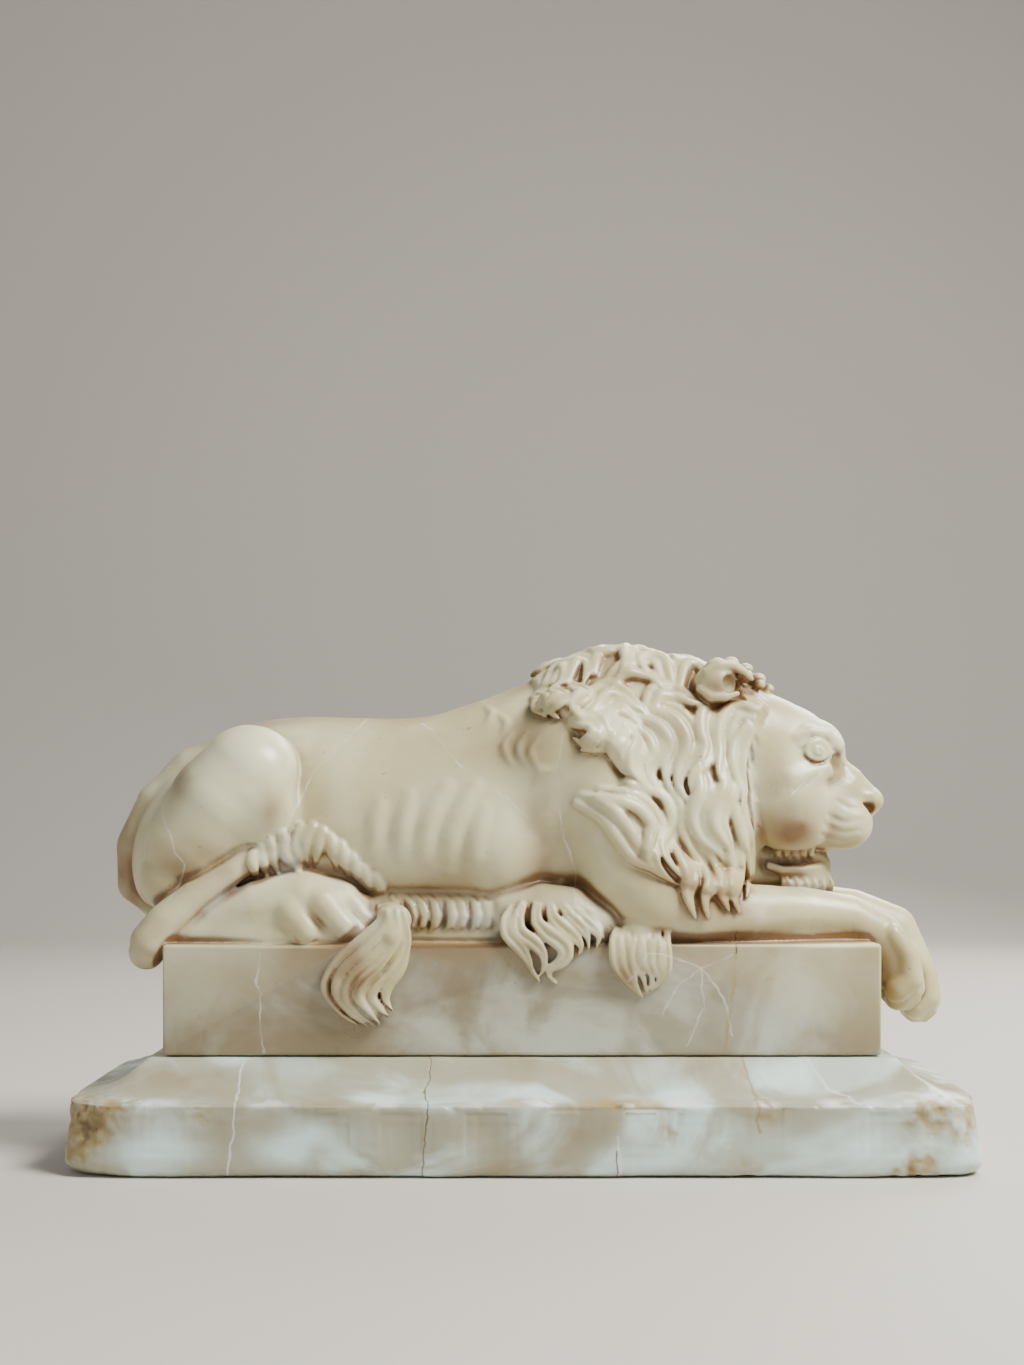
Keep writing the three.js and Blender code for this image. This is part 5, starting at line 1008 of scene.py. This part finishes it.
# Finishes
class Nodes:
    def __init__(self, material):
        material.use_nodes = True
        self.tree = material.node_tree
        self.shader = self.tree.nodes["Principled BSDF"]
        self.spot = self.add("ShaderNodeNewGeometry").outputs["Position"]

    def add(self, kind, **values):
        node = self.tree.nodes.new(kind)
        for key, value in values.items():
            setattr(node, key, value)
        return node

    def put(self, socket, value):
        if hasattr(value, "links"):
            self.tree.links.new(value, socket)
        elif isinstance(value, (tuple, list)) and len(value) == 3 and socket.type == "RGBA":
            socket.default_value = (*value, 1)
        else:
            socket.default_value = value

    def math(self, operation, *values, clamp=False):
        node = self.add("ShaderNodeMath", operation=operation, use_clamp=clamp)
        for socket, value in zip(node.inputs, values):
            self.put(socket, value)
        return node.outputs[0]

    def times(self, a, b):
        return self.math("MULTIPLY", a, b)

    def less(self, whole, share, by):      # whole, taken down by some of a share
        return self.math("SUBTRACT", whole, self.times(share, by))

    def mix(self, share, a, b):
        node = self.add("ShaderNodeMix", data_type="RGBA")
        for i, value in ((0, share), (6, a), (7, b)):      # sockets of the share and of the two colours
            self.put(node.inputs[i], value)
        return node.outputs[2]

    def noise(self, scale, detail=3.0, twist=0.0, offset=(0, 0, 0), stretchBy=(1, 1, 1)):
        spread = self.add("ShaderNodeMapping")
        self.put(spread.inputs["Vector"], self.spot)
        spread.inputs["Location"].default_value = offset
        spread.inputs["Scale"].default_value = stretchBy
        node = self.add("ShaderNodeTexNoise")
        self.put(node.inputs["Vector"], spread.outputs[0])
        node.inputs["Scale"].default_value = scale
        node.inputs["Detail"].default_value = detail
        node.inputs["Distortion"].default_value = twist
        return node.outputs["Fac"]

    def step(self, value, low, high):      # 0 up to low, 1 from high on
        node = self.add("ShaderNodeMapRange", interpolation_type="SMOOTHSTEP")
        self.put(node.inputs["Value"], value)
        node.inputs["From Min"].default_value = low
        node.inputs["From Max"].default_value = high
        return node.outputs["Result"]

    def attribute(self, name):
        return self.add("ShaderNodeAttribute", attribute_name=name).outputs["Fac"]

    def vector(self, operation, a, b, out=0):
        node = self.add("ShaderNodeVectorMath", operation=operation)
        self.put(node.inputs[0], a)
        self.put(node.inputs[1], b)
        return node.outputs[out]

    def scaled(self, vector, amount):
        node = self.add("ShaderNodeVectorMath", operation="SCALE")
        self.put(node.inputs[0], vector)
        self.put(node.inputs["Scale"], amount)
        return node.outputs[0]

    def wavering(self, *waves):      # the position, shaken by noise: an amount and a scale for each wave
        moved = self.spot
        for amount, scale in zip(waves[::2], waves[1::2]):
            noise = self.add("ShaderNodeTexNoise")
            self.put(noise.inputs["Vector"], self.spot)
            noise.inputs["Scale"].default_value = scale
            noise.inputs["Detail"].default_value = 3.0
            centred = self.vector("SUBTRACT", noise.outputs["Color"], (0.5, 0.5, 0.5))
            moved = self.vector("ADD", moved, self.scaled(centred, amount))
        return moved

    def line(self, shaken, start, end, width):      # a vein from start to end, seen from the side: x, z
        flat = self.vector("MULTIPLY", shaken, (1, 0, 1))
        run = np.array([end[0] - start[0], 0, end[1] - start[1]]) / 1000
        away = self.vector("SUBTRACT", flat, (start[0] / 1000, 0, start[1] / 1000))
        along = self.vector("DOT_PRODUCT", away, tuple(run / (run @ run)), "Value")
        t = self.math("ADD", along, 0.0, clamp=True)
        gap = self.vector("DISTANCE", away, self.scaled(tuple(run), t), "Value")
        return self.step(gap, width / 1000, width / 4000)

    def lines(self, shaken, spines, width):
        total = None
        for spine in spines:
            for start, end in zip(spine[:-1], spine[1:]):
                mask = self.line(shaken, start, end, width)
                total = mask if total is None else self.math("MAXIMUM", total, mask)
        return total

    def bump(self, height, strength, distance):
        node = self.add("ShaderNodeBump")
        self.put(node.inputs["Height"], height)
        node.inputs["Strength"].default_value = strength
        node.inputs["Distance"].default_value = distance
        self.put(self.shader.inputs["Normal"], node.outputs[0])


def glow(shader, depth, share, red, green, blue):      # light that wanders inside the stone
    shader.inputs["Subsurface Weight"].default_value = share
    shader.inputs["Subsurface Radius"].default_value = (red, green, blue)
    shader.inputs["Subsurface Scale"].default_value = depth
    shader.inputs["Subsurface Anisotropy"].default_value = 0.6
    shader.inputs["IOR"].default_value = 1.5


lionLook = {
    "pale": (0.60, 0.54, 0.30),
    "milk": (0.75, 0.735, 0.49),
    # honey brown: the real stain colour, and the colour of the painted shade in hollows and under downward
    # faces
    "honeyAndShade": (0.235, 0.13, 0.052),
    # umber: painted shade deep in the grooves
    "grooveShadeUmber": (0.12, 0.062, 0.024),
    # chalk white: the colour of real veins and bloom, and of the painted highlights
    "chalkAndHighlight": (0.80, 0.84, 0.77),
    "ochre": (0.42, 0.31, 0.11),
    "grey": (0.345, 0.315, 0.215),
    "tan": (0.30, 0.235, 0.13),
    "light": (0.55, 0.56, 0.455),
    "tanVein": (0.40, 0.29, 0.11),
    "crack": (0.08, 0.05, 0.03),
    "speck": (0.22, 0.13, 0.06),
    # Veins seen from the near side, x and z in millimetres
    "whiteVeins": [
        [(-74.2, 60), (-74.6, 52), (-73, 50), (-72.6, 31)], [(-46, 128), (-60, 112), (-66, 96)],
        [(-30, 127), (-18, 114), (-4, 104), (2, 98)], [(12, 122), (11, 98), (16, 84), (15, 70)],
        [(50.5, 56.6), (58, 47), (60, 36)], [(50.5, 56.6), (44, 50), (40, 42)],
        [(50.5, 56.6), (36, 60), (30, 52)],
        [(50.5, 56.6), (60, 60)], [(50.5, 56.6), (52, 44), (47, 33)], [(86, 112), (80, 106), (76, 104)],
        [(-104, 100), (-96, 84), (-101, 74)],
    ],
    "tanCracks": [[(61.4, 64), (60.6, 50), (57.4, 31)]],
    "darkCracks": [[(62, 66), (61.4, 60)]],
}


def alabaster(name, look, depth):
    material = bpy.data.materials.new(name)
    n = Nodes(material)
    cloud = n.noise(22, 4, 0.6)
    fine = n.noise(90, 5, 0.4, (0.3, 0.1, 0.7))
    figure = n.mix(n.step(cloud, 0.38, 0.66), look["pale"], look["milk"])
    slab = n.mix(n.step(n.noise(24, 6, 1.6, (0.5, 0, 0)), 0.4, 0.6), look["grey"], look["light"])
    patch = n.step(n.noise(14, 5, 1.0, (0.15, 0.4, 0.2)), 0.46, 0.64)
    slab = n.mix(n.times(patch, 0.9), slab, look["tan"])
    block = n.attribute("block")
    colour = n.mix(block, figure, slab)
    # Painted shade in honey brown in the hollows and on downward faces, with real honey stains, and painted
    # shade in umber deep in the grooves
    hollowShade = n.times(n.step(n.attribute("hollowShade"), 0.05, 0.7), 0.85)
    stainAndShade = n.math("ADD", n.attribute("honeyAndShade"), hollowShade, clamp=True)
    colour = n.mix(n.times(stainAndShade, n.less(1.0, block, 0.8)), colour, look["honeyAndShade"])
    deepShade = n.times(n.step(n.attribute("grooveShade"), 0.15, 0.75), n.less(0.5, block, 0.3))
    colour = n.mix(deepShade, colour, look["grooveShadeUmber"])
    grain = n.math("ADD", 0.15, n.times(n.step(fine, 0.4, 0.6), 0.5))
    # real chalky bloom and painted highlights, broken by the grain
    colour = n.mix(n.math("MULTIPLY", n.attribute("chalkAndHighlight"), grain, clamp=True), colour, look["chalkAndHighlight"])
    colour = n.mix(n.attribute("ochre"), colour, look["ochre"])
    # Veins and cracks
    shaken = n.wavering(0.007, 60, 0.0016, 300)
    broken = n.math("ADD", 0.15, n.times(n.step(n.noise(150, 3, 0, (0.4, 0.2, 0.6)), 0.38, 0.62), 0.7))
    veins = n.math("MULTIPLY", n.lines(shaken, look["whiteVeins"], 0.42), broken, clamp=True)
    colour = n.mix(n.times(veins, 0.6), colour, look["chalkAndHighlight"])
    tanCrack = n.times(n.lines(shaken, look["tanCracks"], 0.8), broken)
    colour = n.mix(n.times(tanCrack, 0.9), colour, look["tanVein"])
    colour = n.mix(n.times(n.lines(shaken, look["darkCracks"], 0.3), 0.8), colour, look["crack"])
    specks = n.step(n.noise(420, 2, 0, (0.9, 0.2, 0.4)), 0.73, 0.78)
    colour = n.mix(n.times(specks, 0.5), colour, look["speck"])
    n.put(n.shader.inputs["Base Color"], colour)
    n.put(n.shader.inputs["Roughness"], n.math("ADD", 0.27, n.times(n.step(fine, 0.3, 0.7), 0.2)))
    pores = n.noise(520, 3, 0, (0.2, 0.8, 0.1))
    n.bump(n.math("ADD", n.times(fine, 0.5), n.times(pores, 0.3)), 0.22, 0.0006)
    glow(n.shader, depth, 0.3, 1.0, 0.85, 0.5)
    return material


baseLook = {
    "cool": (0.52, 0.585, 0.50),
    "white": (0.68, 0.85, 0.80),
    "grey": (0.385, 0.355, 0.24),
    "tan": (0.33, 0.265, 0.15),
    "ochre": (0.37, 0.27, 0.10),
    "brown": (0.17, 0.11, 0.05),
    "scuff": (0.88, 0.90, 0.88),
    "whiteCracks": [
        [(-78.6, 30), (-79, 16), (-80.4, 0)], [(79, 31), (84, 24), (92, 20)], [(26, 12), (26.4, 0)],
    ],
    "tanCracks": [[(62, 30.6), (64, 22), (65, 12)], [(64, 22), (68, 19)]],
    "darkCracks": [[(-27, 30.6), (-26.6, 14), (-27.4, 0)], [(25.4, 8), (25.6, 0)]],
}


def wornAlabaster(name, look, depth):
    material = bpy.data.materials.new(name)
    n = Nodes(material)
    fine = n.noise(110, 5, 0.4, (0.1, 0.6, 0.2))
    cloud = n.step(n.noise(22, 5, 1.8, (0.2, 0.3, 0.4), (1, 1, 1.6)), 0.4, 0.58)
    colour = n.mix(cloud, look["cool"], look["white"])
    greyCloud = n.step(n.noise(17, 5, 1.6, (0.8, 0.1, 0.3), (1, 1, 1.5)), 0.42, 0.58)
    colour = n.mix(n.times(greyCloud, 0.9), colour, look["grey"])
    stain = n.step(n.noise(11, 4, 1.0, (0.3, 0.7, 0.9)), 0.46, 0.64)
    colour = n.mix(n.times(stain, 0.8), colour, look["tan"])
    colour = n.mix(n.attribute("pale"), colour, look["white"])
    # Crust at the corners, scuffs along the arris, and cracks
    crust = n.attribute("crust")
    colour = n.mix(n.times(n.step(crust, 0.12, 0.7), 0.85), colour, look["ochre"])
    colour = n.mix(n.times(n.step(crust, 0.55, 1.1), n.step(fine, 0.4, 0.62)), colour, look["brown"])
    colour = n.mix(n.times(n.attribute("scuff"), n.step(fine, 0.42, 0.55)), colour, look["scuff"])
    shaken = n.wavering(0.006, 70, 0.0015, 300)
    colour = n.mix(n.times(n.lines(shaken, look["whiteCracks"], 0.5), 0.5), colour, look["scuff"])
    colour = n.mix(n.times(n.lines(shaken, look["tanCracks"], 0.6), 0.7), colour, look["ochre"])
    dark = n.lines(shaken, look["darkCracks"], 0.28)
    colour = n.mix(n.times(dark, 0.85), colour, look["brown"])
    n.put(n.shader.inputs["Base Color"], colour)
    n.put(n.shader.inputs["Roughness"], n.math("ADD", 0.3, n.times(n.step(crust, 0.1, 0.6), 0.4)))
    rough = n.times(fine, n.math("ADD", 0.3, n.times(crust, 1.5)))
    n.bump(n.math("ADD", rough, n.times(dark, -0.8)), 0.35, 0.0008)
    glow(n.shader, depth, 0.4, 1.0, 0.75, 0.5)
    return material


lionPiece = carveLion()
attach(lionPiece, "root")
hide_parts("lion_on_block")
lionPiece.data.materials.append(alabaster("lion alabaster", lionLook, 0.0010))

basePiece = carveBase()
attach(basePiece, "root")
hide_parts("moulded_base")
basePiece.data.materials.append(wornAlabaster("base alabaster", baseLook, 0.0014))
print("base carved")


# Stage, light and camera
stage = {
    "colour": (0.60, 0.56, 0.50),
    "back": 0.9,              # metres from the object to where the floor sweeps up
    "sweep": 0.5,             # the radius of that bend
    "eye": (-0.00285, -0.577, 0.0989),
    "lens": 50.6,
    "shiftY": 0.097,
    "aim": (0, 0, 0.08),      # where every lamp points
    "keyAt": (0.62, -0.30, 0.86),
    "keySize": 0.45,
    "keyPower": 24.0,
    "fillAt": (-0.9, -0.75, 0.45),
    "fillSize": 0.9,
    "fillPower": 2.4,
    "rimAt": (0.35, 0.7, 0.6),
    "rimSize": 0.5,
    "rimPower": 7.0,
    "sky": 0.27,
}


def layFloor():
    r = stage["sweep"]
    bend = [(r * math.sin(a), r * (1 - math.cos(a))) for a in np.linspace(0, math.pi / 2, 24)]
    run = [(-3.0, 0.0)] + [(stage["back"] + y, z) for y, z in bend] + [(stage["back"] + r, 4.0)]
    points = [(x, y, z) for y, z in run for x in (-4.0, 4.0)]
    faces = [(2 * i, 2 * i + 1, 2 * i + 3, 2 * i + 2) for i in range(len(run) - 1)]
    mesh = bpy.data.meshes.new("sweep")
    mesh.from_pydata(points, [], faces)
    mesh.polygons.foreach_set("use_smooth", np.ones(len(faces), bool))
    material = bpy.data.materials.new("pale paper")
    material.use_nodes = True
    shader = material.node_tree.nodes["Principled BSDF"]
    shader.inputs["Base Color"].default_value = (*stage["colour"], 1)
    shader.inputs["Roughness"].default_value = 0.75
    mesh.materials.append(material)
    floor = bpy.data.objects.new("sweep", mesh)
    bpy.context.scene.collection.objects.link(floor)


def softLight(name, spot, size, power, color):
    data = bpy.data.lights.new(name, "AREA")
    data.size = size
    data.energy = power
    data.color = color
    lamp = bpy.data.objects.new(name, data)
    lamp.location = spot
    lamp.rotation_euler = (Vector(stage["aim"]) - Vector(spot)).to_track_quat("-Z", "Y").to_euler()
    bpy.context.scene.collection.objects.link(lamp)


layFloor()
for name, colour in (("key", (1, 0.985, 0.95)), ("fill", (0.95, 0.97, 1)), ("rim", (1, 0.98, 0.96))):
    softLight(name, stage[name + "At"], stage[name + "Size"], stage[name + "Power"], colour)
world = bpy.data.worlds.new("studio")
world.use_nodes = True
sky = world.node_tree.nodes["Background"]
sky.inputs["Color"].default_value = (0.93, 0.94, 1.0, 1)
sky.inputs["Strength"].default_value = stage["sky"]
bpy.context.scene.world = world

cameraData = bpy.data.cameras.new("camera")
cameraData.sensor_fit = "VERTICAL"
cameraData.sensor_height = 36
cameraData.lens = stage["lens"]
cameraData.shift_y = stage["shiftY"]
camera = bpy.data.objects.new("camera", cameraData)
camera.location = stage["eye"]
camera.rotation_euler = (math.pi / 2, 0, 0)
bpy.context.scene.collection.objects.link(camera)
bpy.context.scene.camera = camera
print("stage set")
